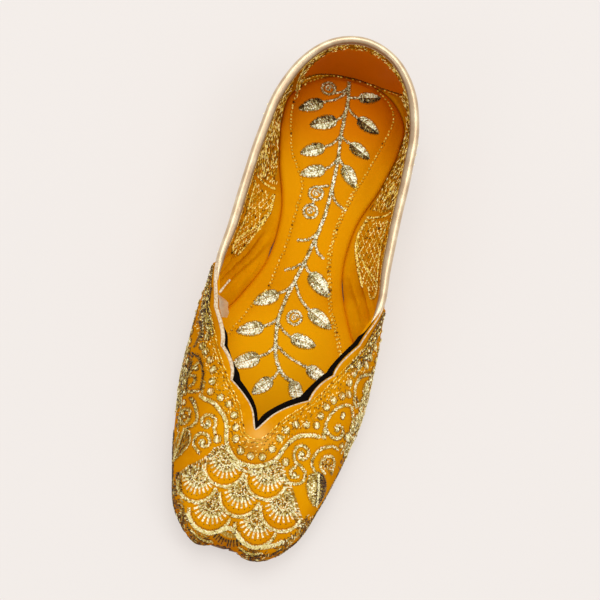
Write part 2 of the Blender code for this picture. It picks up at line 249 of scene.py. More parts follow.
plainFinishes = {
    # stiffening felt glued under the throat: almost no light comes back from it
    "black_stiffener_felt": {"nap": 0.7, "detail": 3, "tints": [(0.35, "#060403"), (0.75, "#150b06")],
                             "roughness": 0.85, "gloss": 0.05},
    # the cut edge of a dyed hide: pinkish beige and matt, with loose fibres
    "raw_cut_edge": {"nap": 1.1, "detail": 4,
                     "tints": [(0.3, "#a5845c"), (0.45, "#dcc09a"), (0.7, "#f6e8ce")],
                     "roughness": 0.7, "gloss": 0.2},
}


def fibrous(name):
    look = plainFinishes[name]
    made, tree, shader, spot = startMaterial(name)
    nap = addNode(tree, "ShaderNodeTexNoise",
                  {"Vector": spot, "Scale": 1 / (look["nap"] * mm), "Detail": look["detail"]})
    tint = addNode(tree, "ShaderNodeValToRGB", {"Fac": nap}, look["tints"])
    bump = addNode(tree, "ShaderNodeBump", {"Height": nap, "Strength": 0.5, "Distance": 0.2 * mm})
    setSockets(tree, shader, {"Base Color": tint, "Roughness": look["roughness"],
                              "Specular IOR Level": look["gloss"], "Normal": bump})
    return made


def stackedLeather():
    # vegetable-tanned buffalo, cut and burnished in layers: brown edge with fine level lines
    made, tree, shader, spot = startMaterial("tanned_buffalo_sole")
    split = addNode(tree, "ShaderNodeSeparateXYZ", {"Vector": spot})
    layer = addNode(tree, "ShaderNodeMath", {0: split.outputs["Z"], 1: math.tau / (2.2 * mm)},
                    operation="MULTIPLY")
    line = addNode(tree, "ShaderNodeMath", {0: layer}, operation="SINE")
    fibre = addNode(tree, "ShaderNodeTexNoise", {"Vector": spot, "Scale": 1 / (1.6 * mm), "Detail": 5})
    mixed = addNode(tree, "ShaderNodeMath", {0: line, 1: 0.12, 2: fibre}, operation="MULTIPLY_ADD")
    tint = addNode(tree, "ShaderNodeValToRGB", {"Fac": mixed},
                   [(0.28, "#46290f"), (0.5, "#73491f"), (0.72, "#93683a")])
    bump = addNode(tree, "ShaderNodeBump", {"Height": mixed, "Strength": 0.4, "Distance": 0.25 * mm})
    setSockets(tree, shader, {"Base Color": tint, "Roughness": 0.6, "Normal": bump})
    return made


# The last: every piece is cut from this form

lastColumns = ("footX", "footY", "swellOut", "swellUp", "topX", "topY", "topZ", "browOut", "browDrop",
               "footShift", "topShift")
# foot: the line where the upper meets the sole.  swell: how the wall leaves it.  top: the collar, the throat
# or the ridge of the vamp.  brow: how the wall arrives there.  shift: how far an end sits off the middle.
lastRows = {
    "heelBack": (0, 123.2, 2.5, 13, 0, 124.3, 52.2, 1.5, 14, 0, -0.8),
    "heelCorner": (22.5, 116.6, 3, 13, 19.2, 116.9, 51.4, 2, 14, 0, -0.7),
    "heelSide": (32.2, 103, 3.5, 12, 29.6, 103.6, 49.2, 3, 14, 0, -0.6),
    "heelFront": (32.6, 90, 5, 10, 34.7, 90, 46.6, 3, 14, 0, -0.8),
    "shankRear": (28.6, 69, 9, 7, 37.3, 68, 43.4, 2, 13, 0, -1.2),
    "waist": (20.6, 42, 14, 6, 38.3, 42, 41, 1, 13, 0, -1.5),
    "shankFront": (21.2, 17, 17, 6, 39, 18, 40, 2, 14, 0, -1.2),
    "wing": (28.5, -1, 19, 7, 39.8, 0, 39.8, 4, 15, 0.2, -1),
    "instep": (37.2, -18, 12, 9, 35.4, -16, 40.6, 7, 12, 0.4, -1.6),
    "ball": (41.4, -37, 8, 11, 25.6, -36, 41.2, 11.5, 8, 0.5, -2),
    "joint": (41.4, -55, 7, 12, 15.2, -52, 40.6, 15, 5, 0.4, -1.7),
    "throatLow": (40, -64, 7, 12, 4.7, -63, 39.9, 21, 2, 0.3, -2.4),
    "throatTip": (38.6, -72, 7, 13, 0, -71.5, 38.9, 24, 1, 0.2, -3.5),
    "toeShoulder": (32.8, -94.5, 7.5, 13, 0, -81, 35.3, 23, 3.5, 0, -3.5),
    "toeCorner": (25.8, -112.2, 9, 12, 0, -90, 31.6, 20, 5, -0.2, -3.5),
    "toeFront": (16.4, -120.2, 11.5, 10.5, 0, -97.5, 28.5, 17, 6, -0.2, -3.5),
    "toeCentre": (0, -122.8, 9.5, 10, 0, -101, 27, 15, 6.2, -1.5, -3.5),
}
rowNumbers = {name: number for number, name in enumerate(lastRows)}
last = {
    "middle": (0.1, -0.7),  # the origin, in the measure of the rows
    "wall": 2, "overlay": 0.8, "gap": 0.3,
    "soleThick": 4, "heelLift": 7, "shankRear": 57, "shankFront": -12,
    "springFrom": -76, "springTo": -125, "toeSpring": 3.2,
    "notchX": -3.5, "tuckDepth": 3.6, "tuckHalfWidth": 9, "tuckReach": (-98, -112), "tuckFades": (0.5, 0.95),
    # row number: how deep the throat is cut there, between the lobes
    "cusps": {7: 0, 8.27: 1.6, 9.12: 2.2, 10: 3, 12: 0},
}


def smoothstep(low, high, x):
    t = np.clip((x - low) / (high - low), 0, 1)
    return t * t * (3 - 2 * t)


def unit(vectors):
    return vectors / np.maximum(np.linalg.norm(vectors, axis=-1, keepdims=True), 1e-9)


def leftOf(ways):
    # plan directions turned a quarter to the left
    return np.stack([-ways[..., 1], ways[..., 0]], axis=-1)


def wayOf(angle):
    return np.stack([np.cos(angle), np.sin(angle)], axis=-1)


def readTable(table, at):
    # a short table of (place, value), read between its rows
    return np.interp(at, *np.array(table, float).T)


def alike(*values):
    return np.broadcast_arrays(*(np.asarray(value, float) for value in values))


def evened(line, rounds):
    # each point inside a line moves towards its neighbours
    for _ in range(rounds):
        line[1:-1] = (line[:-2] + 2 * line[1:-1] + line[2:]) / 4
    return line


def soleTop(y):
    seat = last["heelLift"] * smoothstep(last["shankFront"], last["shankRear"], y)
    along = (last["springFrom"] - y) / (last["springFrom"] - last["springTo"])
    return last["soleThick"] + seat + last["toeSpring"] * np.clip(along, 0, 1.2) ** 2


def carriedOn(key):
    values = [row[lastColumns.index(key)] for row in lastRows.values()]
    sign = -1 if key in ("footX", "topX") else 1
    return np.array([sign * values[2], sign * values[1], *values, sign * values[-2], sign * values[-3]])


def rowPlaces():
    steps = np.hypot(np.diff(carriedOn("footX")), np.diff(carriedOn("footY")))
    places = np.concatenate([[0], np.cumsum(steps)])
    return places - places[2]


knots = rowPlaces()


def placeOfRow(row):
    number = rowNumbers.get(row, row)
    return float(np.interp(number, range(-2, len(lastRows) + 2), knots))


def readColumn(key, place):
    values = carriedOn(key)
    before, after = np.diff(knots)[:-1], np.diff(knots)[1:]
    rise = np.diff(values) / np.diff(knots)
    slopes = np.zeros(len(values))
    slopes[1:-1] = (rise[:-1] * after + rise[1:] * before) / (before + after)
    i = np.clip(np.searchsorted(knots, place, side="right") - 1, 1, len(knots) - 3)
    width = knots[i + 1] - knots[i]
    t = (place - knots[i]) / width
    start, end = 2 * t**3 - 3 * t**2 + 1, 3 * t**2 - 2 * t**3
    return (start * values[i] + end * values[i + 1] + (t**3 - 2 * t**2 + t) * width * slopes[i]
            + (t**3 - t**2) * width * slopes[i + 1])


def footPoint(place, side):
    return np.stack([side * readColumn("footX", place) + readColumn("footShift", place),
                     readColumn("footY", place)], axis=-1)


def feather(place, side):
    along = unit(footPoint(place + 0.2, side) - footPoint(place - 0.2, side))
    out = leftOf(along) * np.asarray(side)[..., None]
    return footPoint(place, side), out


def ribs(place, side):
    foot, out = feather(place, side)
    footZ = soleTop(foot[..., 1]) + last["gap"]
    top = np.stack([side * readColumn("topX", place) + readColumn("topShift", place),
                    readColumn("topY", place)], axis=-1)
    topZ = readColumn("topZ", place)
    brow = unit((foot - top) + out * 20)
    swell = foot + out * readColumn("swellOut", place)[..., None]
    arrive = top + brow * readColumn("browOut", place)[..., None]
    heights = [footZ, footZ + readColumn("swellUp", place), topZ - readColumn("browDrop", place), topZ]
    plans = [foot, swell, arrive, top]
    return np.stack([np.concatenate([p, z[..., None]], axis=-1) for p, z in zip(plans, heights)], axis=-2)


def wallPoint(place, side, t):
    place, side, t = alike(place, side, t)
    weights = np.stack([(1 - t) ** 3, 3 * t * (1 - t) ** 2, 3 * t**2 * (1 - t), t**3], axis=-1)
    point = np.einsum("...k,...kc->...c", weights, ribs(place, side))
    away = np.abs(point[..., 0] - last["notchX"]) / last["tuckHalfWidth"]
    tuck = np.exp(-(away**3)) * smoothstep(*last["tuckReach"],
                                           point[..., 1]) * (1 - smoothstep(*last["tuckFades"], t))
    point[..., 1] += last["tuckDepth"] * tuck
    return point


def wallNormal(place, side, t):
    place, side, t = alike(place, side, t)
    inner = np.minimum(t, 0.98)
    along = wallPoint(place + 0.5, side, inner) - wallPoint(place - 0.5, side, inner)
    up = wallPoint(place, side, np.minimum(t + 0.01, 1)) - wallPoint(place, side, np.maximum(t - 0.01, 0))
    normal = np.cross(up, along) * side[..., None]
    normal[..., 2] = np.where(t <= 0, 0, normal[..., 2])
    ridge = (t >= 1) & (place >= placeOfRow("throatTip"))
    normal[..., 0] = np.where(ridge, 0, normal[..., 0])
    return unit(normal)


def throatCut(place):
    places = np.array([placeOfRow(row) for row in last["cusps"]])
    depths = np.array(list(last["cusps"].values()))
    i = np.clip(np.searchsorted(places, place, side="right") - 1, 0, len(places) - 2)
    share = (place - places[i]) / (places[i + 1] - places[i])
    depth = depths[i] * (1 - share) + depths[i + 1] * share
    inside = (place >= places[0]) & (place <= places[-1])
    return np.where(inside, depth * (2 * share - 1) ** 2, 0)


def rimShare(place):
    place = np.asarray(place, float)
    points = ribs(place, np.ones_like(place))
    speed = 3 * np.linalg.norm(points[..., 3, :] - points[..., 2, :], axis=-1)
    return 1 - throatCut(place) / speed


def inFrame(points):
    return points - np.array([*last["middle"], 0.0])


print("last read")


# Meshes

def meshPiece(name, points, faces, finish, smooth=40, marks=None):
    placed = np.asarray(points, float) * mm
    mesh = bpy.data.meshes.new(name)
    mesh.from_pydata(placed.tolist(), [], [tuple(int(i) for i in face) for face in faces])
    for key, values in (marks or {}).items():
        mesh.attributes.new(key, "FLOAT", "POINT").data.foreach_set("value", np.asarray(values, np.float32))
    work = bmesh.new()
    work.from_mesh(mesh)
    if work.calc_volume(signed=True) < 0:
        bmesh.ops.reverse_faces(work, faces=work.faces)
    work.to_mesh(mesh)
    work.free()
    mesh.shade_smooth()
    mesh.set_sharp_from_angle(angle=math.radians(smooth))
    mesh.materials.append(finish)
    piece = bpy.data.objects.new(name, mesh)
    scene.collection.objects.link(piece)
    return piece


def gridFaces(numbers, flipped=False):
    a, b, c, d = numbers[:-1, :-1], numbers[:-1, 1:], numbers[1:, 1:], numbers[1:, :-1]
    faces = np.stack([a, b, c, d] if not flipped else [d, c, b, a], axis=-1).reshape(-1, 4)
    return faces.tolist()


def sweptPiece(name, rings, finish, smooth=40, closedPath=False, marks=None):
    rings = np.asarray(rings)
    count, size = rings.shape[:2]
    numbers = np.arange(count * size).reshape(count, size)
    numbers = np.concatenate([numbers, numbers[:, :1]], axis=1)
    if closedPath:
        numbers = np.concatenate([numbers, numbers[:1]], axis=0)
    faces = gridFaces(numbers)
    points = rings.reshape(-1, 3)
    if not closedPath:
        faces += [list(reversed(range(size))), list(range((count - 1) * size, count * size))]
    return meshPiece(name, points, faces, finish, smooth, marks)


def dress(piece, slot, *stoodFor):
    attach(piece, "root")
    if stoodFor:
        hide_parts(*stoodFor)
    return piece


# Upper: quarters and vamp in one shell, with its lining

upperLook = {
    "quarterCuts": 150, "throatCuts": 90, "toeCuts": 60, "levels": 52,
    "edgeRoll": 0.45,  # how far the leather turns down at the throat's cut edge
    "paintedLightMask": (-1.0, -73.6, 5.0, 0.5),  # painted highlight round the point of the throat: (x, y, reach, amount)
    "liningShade": {1: (0.6, 0.4), -1: (0.55, 0.25)},  # painted shade on the lining: how dark at the heel, and under the panel
    # painted shade: how dark a flank gets, and the slants between which it darkens; then the same for the toe's
    # front
    "flankShade": {1: (0.4, 0.6, 0.95), -1: (0.5, 0.35, 0.8)}, "toeShade": (0.85, 0.3, 0.75), "deepestShade": 0.8,
    "pleatDepth": 0.45, "pleatPitch": 1.9, "pleatSpread": 10.0,  # small pleats of the pinched toe
    # soft folds of the lining near each wing: (along, down from the rim) to (along, down), half width, depth
    "liningFolds": {
        1: [((124, 38), (152, 37), 1.4, 1.8), ((130, 32.5), (151, 31.5), 1.3, 1.5),
            ((112, 41), (134, 43), 1.8, 0.8), ((136, 43), (158, 40), 1.8, 1.0)],
        -1: [((114, 34), (150, 30.5), 1.3, 1.7), ((116, 37.5), (152, 35), 1.3, 1.8),
             ((122, 41.5), (154, 40), 1.7, 1.0), ((138, 26), (150, 25), 1.2, 1.2)],
    },
    "sheetStep": 1.5,  # how finely the wall is measured for the embroidery
}


def ribLengths():
    places = np.linspace(-45, placeOfRow("toeCentre") + 5, 170)
    p, t = np.meshgrid(places, np.linspace(0, 1, 60), indexing="ij")
    run = np.linalg.norm(np.diff(wallPoint(p, 1, t * rimShare(p)), axis=1), axis=-1)
    return places, run.sum(axis=1)


ribPlaces, ribRuns = ribLengths()


def liningPush(place, side, drop):
    # how far the lining stands in from its smooth line at a place, so far below the rim
    push = np.zeros_like(place)
    for key, folds in upperLook["liningFolds"].items():
        for start, end, half, depth in folds:
            start, end = np.array(start, float), np.array(end, float)
            way = end - start
            share = ((place - start[0]) * way[0] + (drop - start[1]) * way[1]) / (way @ way)
            near = np.clip(share, 0, 1)
            off = np.hypot(place - start[0] - near * way[0], drop - start[1] - near * way[1])
            taper = np.clip(1.25 - np.abs(2 * share - 1) ** 3, 0, 1)
            wave = np.exp(-((off / half) ** 2)) - 0.5 * np.exp(-(((off - 2.2 * half) / half) ** 2))
            push += np.where(side == key, depth * taper * wave, 0)
    return push


def dropTable(side):
    # for each place, how far up the rib a point lies that is so far below the rim
    step = upperLook["sheetStep"]
    places = np.arange(-45.0, placeOfRow("toeCentre") + 1.0, step)
    drops = np.arange(0.0, 75.0, step)
    share = np.linspace(0, 1, 90)
    p, t = np.meshgrid(places, share, indexing="ij")
    t = t * rimShare(p)
    steps = np.linalg.norm(np.diff(wallPoint(p, side, t), axis=1), axis=-1)
    fromFoot = np.concatenate([np.zeros((len(places), 1)), np.cumsum(steps, axis=1)], axis=1)
    length = fromFoot[:, -1]
    table = [np.interp(drops, (run[-1] - run)[::-1], row[::-1]) for run, row in zip(fromFoot, t)]
    return places, drops, np.array(table), length


def wallSheet(side, inner=False, fromFoot=False):
    # flat (along, down from the rim) or (along, up from the sole) to places on the wall
    places, drops, table, length = dropTable(side)

    def sheet(flat):
        place, down = flat[:, 0], flat[:, 1]
        if fromFoot:
            down = np.interp(place, places, length) - down
        kept = (down > -0.5) & (down < np.interp(place, places, length) + 0.5)
        i = np.clip((place - places[0]) / upperLook["sheetStep"], 0, len(places) - 1.001)
        j = np.clip(down / upperLook["sheetStep"], 0, len(drops) - 1.001)
        a, b = np.floor(i).astype(int), np.floor(j).astype(int)
        u, v = i - a, j - b
        t = (table[a, b] * (1 - u) * (1 - v) + table[a + 1, b] * u * (1 - v)
             + table[a, b + 1] * (1 - u) * v + table[a + 1, b + 1] * u * v)
        sides = np.full(len(place), float(side))
        normal = wallNormal(place, sides, np.clip(t, 0.004, 0.996))
        if inner:
            push = last["wall"] + liningPush(place, sides, down)
            return inFrame(wallPoint(place, sides, t) - normal * push[:, None]), -normal, kept
        lap = np.where(place > placeOfRow("wing") + 0.1, last["overlay"], 0)
        return inFrame(wallPoint(place, sides, t) + normal * lap[:, None]), normal, kept
    return sheet


def buildUpper(skin):
    look = upperLook
    wing, tip, end = placeOfRow("wing"), placeOfRow("throatTip"), placeOfRow("toeCentre")
    lap = wing + 0.35
    quarter = np.linspace(0, wing, look["quarterCuts"])
    # the lobes keep their points: cuts are shared out between the cusps
    throat = [lap]
    cusps = [placeOfRow(row) for row in last["cusps"]]
    for first, second in zip(cusps, cusps[1:]):
        number = max(4, round(look["throatCuts"] * (second - first) / (cusps[-1] - cusps[0])))
        throat.extend(np.linspace(first, second, number + 1)[1:])
    toe = np.linspace(tip, end, look["toeCuts"] + 1)[1:]
    places = np.concatenate([quarter, throat, toe])
    tipColumn = len(quarter) + len(throat) - 1
    levels = look["levels"]
    shares = np.linspace(0, 1, levels)
    points, marks = {}, {}
    for side in (1, -1):
        place, share = np.meshgrid(places, shares, indexing="ij")
        t = share**0.95 * rimShare(place)
        at = wallPoint(place, side, t)
        out = wallNormal(place, side, t)
        lapped = np.where(place > wing + 0.1, last["overlay"], 0)
        open_ = (place <= tip + 0.01) & (place > wing + 0.1)
        roll = np.where(open_, look["edgeRoll"] * smoothstep(0.965, 1, share) ** 2, 0)
        front = np.exp(-((at[..., 0] - last["notchX"]) / look["pleatSpread"]) ** 2)
        front *= smoothstep(-112, -119, at[..., 1]) * (1 - smoothstep(0.15, 0.55, share))
        turn = math.tau * (at[..., 0] - last["notchX"]) / look["pleatPitch"]
        pleat = look["pleatDepth"] * front * np.cos(turn)
        tucked = 0.5 * (1 - smoothstep(0, 0.06, share))
        outer = at + out * (lapped - roll + pleat - tucked)[..., None]
        drop = (1 - share) * np.interp(place, ribPlaces, ribRuns)
        inner = at - out * (last["wall"] + liningPush(place, side, drop))[..., None]
        points[side] = (outer, inner)
        # painted shade: brown on the flanks and the toe's front that turn from the light, and on the lining at
        # the heel and under its embroidered panel
        amount, start, full = look["flankShade"][side]
        outerShade = amount * smoothstep(start, full, side * out[..., 0]) * smoothstep(120, 175, place)
        amount, start, full = look["toeShade"]
        outerShade = outerShade + amount * smoothstep(start, full, -out[..., 1]) * (place > 225)
        # painted shade on the lining, deepest at the heel and under the panel
        low, high = look["liningShade"][side]
        under = low + (high - low) * smoothstep(86, 96, place)
        under = under * (1 - smoothstep(132, 142, place)) * (1 - smoothstep(34, 38, drop))
        marks[side] = (np.clip(outerShade, 0, look["deepestShade"]), under)
    # both sides share the heel line, the toe line and the ridge in front of the throat
    numbers, stack, count = {}, [], 0
    for side in (1, -1):
        own = np.full((len(places), levels), -1)
        if side == -1:
            own[0], own[-1] = numbers[1][0], numbers[1][-1]
            own[tipColumn:, -1] = numbers[1][tipColumn:, -1]
        free = own < 0
        own[free] = count + np.arange(free.sum())
        count += free.sum()
        numbers[side] = own
        stack.append([part[free] for part in (*points[side], *marks[side])])
    outer, inner, outerShades, liningShades = (np.concatenate(part) for part in zip(*stack))
    shadeMarks = np.concatenate([outerShades, liningShades])
    faces = []
    for side in (1, -1):
        own = numbers[side]
        foot, rim = own[:, 0], own[:tipColumn + 1, -1]
        faces += gridFaces(own, side == -1)
        faces += gridFaces(own + count, side == 1)
        faces += gridFaces(np.stack([foot, foot + count], axis=1), side == 1)
        faces += gridFaces(np.stack([rim, rim + count], axis=1), side == -1)
    everything = np.concatenate([outer, inner])
    feet = np.unique(np.concatenate([numbers[1][:, 0], numbers[-1][:, 0]]))
    feet = np.concatenate([feet, feet + count])
    everything[feet, 2] = soleTop(everything[feet, 1]) + last["gap"]
    placed = inFrame(everything)
    # painted highlight round the point of the throat
    x, y, reach, amount = look["paintedLightMask"]
    paintedLightMask = amount * np.exp(-((placed[:, 0] - x) ** 2 + (placed[:, 1] - y) ** 2) / reach**2)
    piece = meshPiece("upper_shell", placed, faces, skin, smooth=50,
                      marks={"paintedLightMask": paintedLightMask, "paintedShade": shadeMarks})
    smoothRidge(piece)
    return piece


def smoothRidge(piece):
    work = bmesh.new()
    work.from_mesh(piece.data)
    middle = last["notchX"] - last["middle"][0]
    front = -73.5 * mm
    band = [v for v in work.verts if abs(v.co.x - middle * mm) < 7 * mm and v.co.y < front and v.co.z > 20 * mm]
    for _ in range(30):
        bmesh.ops.smooth_vert(work, verts=band, factor=0.5, use_axis_x=True, use_axis_y=True, use_axis_z=True)
    work.to_mesh(piece.data)
    work.free()


# Insole: foam and board under a sheet of leather that turns up against the lining

insoleLook = {
    "thick": 3, "crown": 0.9, "inset": 1.95, "edgeRound": 2.1,
    "rungs": 210, "across": 61,
    "wave": 0.15,  # how uneven the padding lies
    "inShade": 0.8, "paintedLight": 0.55,  # painted shade: how dark it is at the heel; painted light: how much paler under the ball of the foot
    "padRaise": 0.55, "grooveDepth": 0.35, "grooveHalf": 0.9,
    # rows of stitching that hold the sheet down: (x, y)
    "rowRight": [
        (12.5, 118.5), (19.5, 113.5), (22.6, 109), (23.7, 103.5), (22.8, 97), (21.1, 89.4), (17.9, 76),
        (14.9, 65.6), (12, 53), (10.2, 42.5), (9.9, 32.6), (11.1, 22.7), (14.3, 12.9), (16.9, 3), (22.3, -7),
        (27.7, -18.7), (32.5, -34), (34, -52),
    ],
    "rowLeft": [
        (-15.5, 118.5), (-22.5, 113.5), (-26, 109), (-27.4, 102), (-27.2, 95), (-25.2, 86), (-22, 75),
        (-16.5, 66), (-12.4, 58.6), (-11.9, 48), (-12.1, 28.3), (-13.4, 18.6), (-15.2, 3.9), (-20.3, -5.9),
        (-27.9, -23.3), (-33, -38), (-35, -54),
    ],
}


def rowX(key, y):
    return readTable([(at, x) for x, at in insoleLook[key][::-1]], y)


def padRelief(x, y):
    inside = np.minimum(rowX("rowRight", y) - x, x - rowX("rowLeft", y))
    raised = insoleLook["padRaise"] * smoothstep(-0.5, 4.5, inside)
    groove = insoleLook["grooveDepth"] * np.exp(-(inside / insoleLook["grooveHalf"]) ** 2)
    return raised - groove


def buildInsole(skin):
    look = insoleLook
    places = np.concatenate([np.linspace(0.12, 12, 26)[:-1],
                             np.linspace(12, placeOfRow("toeCentre") - 9, look["rungs"] - 25)])
    low = soleTop(readColumn("footY", places)) + last["gap"]
    edges = {}
    for side in (1, -1):
        foot, out = feather(places, side)
        short = 4 * smoothstep(-100, -118, foot[:, 1])
        edges[side] = [foot - out * (look["inset"] + short + step)[:, None]
                       for step in (0, look["edgeRound"])]
    # round the upper edge over, from the side wall to the top
    a = np.radians(np.linspace(0, 90, 6))[:, None, None]

    def shoulder(side):
        outer, inner = edges[side]
        flat = inner + (outer - inner) * np.cos(a)
        height = low[:, None] + look["thick"] - look["edgeRound"] * (1 - np.sin(a))
        return np.concatenate([flat, np.broadcast_to(height, flat.shape[:2] + (1,))], axis=-1)

    right, left = shoulder(1), shoulder(-1)[::-1]
    share = np.linspace(1, -1, look["across"])[1:-1, None]
    middle, half = (right[-1, :, :2] + left[0, :, :2]) / 2, (right[-1, :, :2] - left[0, :, :2]) / 2
    plan = middle[None] + half[None] * share[..., None]
    height = np.broadcast_to(low + look["thick"], share.shape[:1] + low.shape)
    height = height + look["crown"] * (1 - share**2) * smoothstep(0, 12, places)
    top = np.concatenate([plan, height[..., None]], axis=-1)
    under = [np.concatenate([edges[side][0], low[:, None]], axis=1) for side in (-1, 1)]
    ring = inFrame(np.concatenate([right, top, left, under]).transpose(1, 0, 2))
    surface = ring[:, :-2]
    surface[..., 2] += padRelief(surface[..., 0], surface[..., 1]) * smoothstep(0, 14, places)[:, None]
    wave = np.sin(surface[..., 0] * 0.21 + 1.3) * np.sin(surface[..., 1] * 0.11 + 0.4)
    surface[..., 2] += look["wave"] * wave * smoothstep(0, 14, places)[:, None]
    ring = ring[:, ::-1]
    # painted shade towards the heel, and painted light on the forefoot
    inShade = look["inShade"] * smoothstep(58, 112, ring[..., 1])
    paintedLight = look["paintedLight"] * (1 - smoothstep(-28, 14, ring[..., 1]))
    return sweptPiece("insole_sock", ring, skin, smooth=60,
                      marks={"paintedShade": inShade.ravel(), "paintedLightMask": paintedLight.ravel()})


# Binding: a folded strip of foiled leather round the collar

bindingLook = {
    "skin": 0.5, "crown": 1.5, "outerLeg": 2.6, "innerLeg": 3.6, "heelLeg": 1.9, "stops": 130,
    "runsOn": 11.0,  # how far it runs on inside each wing of the vamp, narrowing to nothing
    "bulge": 0.9,  # along the sides it is padded out this much on the inside
    "beadShade": [(-12, 0.4), (30, 0.1), (60, 0), (95, 0.05), (135, 0.5), (175, 0.8)],  # (degrees round it, painted shade)
    "tab": (18.6, 28.6),  # the cut end that stands out inside the left wing: how far past the wing, from and to
}


def rimFrames(places, sides):
    share = rimShare(places)
    top = wallPoint(places, sides, share)
    up = unit(top - wallPoint(places, sides, share - 0.06))
    out = wallNormal(places, sides, np.minimum(share, 0.985))
    out = unit(out - up * np.sum(out * up, axis=-1, keepdims=True))
    return inFrame(top), up, out


def alongRim(top, up, out, profile):
    # a ring at every stop, from a profile of (outwards, upwards)
    return top[:, None] + out[:, None] * profile[..., 0:1] + up[:, None] * profile[..., 1:2]


def buildBinding(foil):
    look = bindingLook
    half = last["wall"] / 2
    wide = half + 0.2 + look["skin"]
    # across the rim: (outwards from the middle of the wall, upwards from the rim)
    outer, inner = -look["outerLeg"], -look["innerLeg"]
    outside = [(wide - 0.3, outer), (wide - 0.02, outer + 0.3), (wide + 0.02, -1.7), (wide + 0.1, -0.9)]
    angles = np.radians(np.linspace(-12, 192, 17))
    bead = [((wide + 0.16) * math.cos(a), -0.35 + (look["crown"] + 0.35) * math.sin(a)) for a in angles]
    # inside, the bead drops to a flat strip with a stitched lip
    inside = [(-wide + 0.12, -1.15), (-wide + 0.16, -1.5), (-wide - 0.05, -2), (-wide - 0.12, -2.8),
              (-wide - 0.1, -3.4), (-wide + 0.02, inner + 0.1), (-wide + 0.35, inner)]
    hidden = [(-half, inner + 0.1), (-half, 0.1), (half + 0.05, 0.1), (half + 0.05, outer + 0.1)]
    profile = np.array(outside + bead + inside + hidden)
    # painted shade round the same profile: how dark each point is drawn
    turned = [0.9, 0.85, 0.75, 0.5, *readTable(look["beadShade"], np.degrees(angles)),
              0.85, 0.8, 0.35, 0.1, 0.5, 0.9, 1, *[1] * len(hidden)]
    wing = placeOfRow("wing")
    run = np.concatenate([np.linspace(0, wing - 1.5, look["stops"]),
                          np.linspace(wing, wing + look["runsOn"], 16)])
    places = np.concatenate([run[::-1], run[1:]])
    sides = np.where(np.arange(len(places)) < len(run), 1.0, -1.0)
    top, up, out = rimFrames(places, sides)
    # round the heel the inner leg is short, under the embroidery
    leg = look["heelLeg"] + (look["innerLeg"] - look["heelLeg"]) * smoothstep(22, 52, places)
    profiles = np.repeat(profile[None], len(places), axis=0)
    inwards = np.clip(-profile[:, 0] / wide, 0, 1) * (profile[:, 0] < -half)
    padded = smoothstep(15, 50, places) * (1 - 0.9 * smoothstep(wing - 26, wing - 1, places))
    profiles[..., 0] -= look["bulge"] * padded[:, None] * inwards
    low = (profile[:, 1] < -1.3) & (profile[:, 0] < 0)
    profiles[:, low, 1] = -1.3 + (profile[low, 1] + 1.3) * ((leg - 1.3) / (look["innerLeg"] - 1.3))[:, None]
    shrink = 1 - 0.93 * np.clip((places - wing + 1.5) / (look["runsOn"] + 1.5), 0, 1) ** 1.2
    profiles *= shrink[:, None, None]
    return sweptPiece("collar_binding_strip", alongRim(top - out * half, up, out, profiles), foil, smooth=60,
                      marks={"turned": np.tile(turned, len(places))})


def buildBindingTab(foil):
    # the cut end of the binding stands out a little inside the left wing
    start, end = bindingLook["tab"]
    places = placeOfRow("wing") + np.linspace(start, end, 10)
    top, up, out = rimFrames(places, np.full(len(places), -1.0))
    reach = readTable([(0, 0.3), (0.3, 0.95), (0.8, 1), (1, 0.8)], np.linspace(0, 1, len(places)))[:, None]
    profile = np.array([(-1.6, 0.6), (-4.0, 0.2), (-6.6, -0.9), (-8.2, -2.0),
                        (-8.2, -2.5), (-6.6, -1.6), (-4, -0.5), (-1.6, -0.2)])
    rings = alongRim(top, up, out, profile[None] * np.stack([reach, np.ones_like(reach)], axis=-1))
    return sweptPiece("binding_tab", rings, foil, smooth=50)


def buildLooseEnd(raw):
    # a trimmed end of piping, slanting out from the left wing over the lining
    places = placeOfRow("wing") + np.array([17.6, 9.4])
    top, up, out = rimFrames(places, np.full(2, -1.0))
    start = top[0] - out[0] * 1.8 + up[0] * 0.2
    end = top[1] - out[1] * 7.4 - up[1] * 2
    way = unit(end - start)
    side = unit(np.cross(way, (0, 0, 1)))
    over = np.cross(side, way)
    angles = np.radians(np.arange(0, 360, 36))
    rings = []
    for share in np.linspace(0, 1, 12):
        radius = 0.48 + 0.08 * math.sin(share * 9)
        at = start + (end - start) * share + over * 0.5 * math.sin(share * math.pi)
        rings.append(at + radius * (np.outer(np.cos(angles), side) + 0.6 * np.outer(np.sin(angles), over)))
    return sweptPiece("loose_piping_end", np.array(rings), raw, smooth=60.0)


# Black stiffener under the edge of the throat

backingLook = {
    "stops": 90, "thick": 1.9, "reach": 6,
    # how far the black stands in from the leather, by place along the throat, and how much more at the cusps
    "right": [(156, 0.15), (165, 0.3), (171, 1.4), (195, 2), (203, 2.3), (208, 3), (214, 3), (220.9, 1.4)],
    "left": [
        (178, 1.4), (184, 1.4), (190, 0.7), (197, 0.7), (201, 2.2), (209, 2.4), (215, 1.5), (220.9, 1.4),
    ],
    "more": 0.5,
    # how wide the undyed edge of the leather shows on the left, by place; on the right it is a thin line
    "cutLeft": [(148, 1.8), (152, 1.3), (172, 1.2), (190, 1), (202, 0.6), (207, 0.1)], "cutRight": 0.1,
}


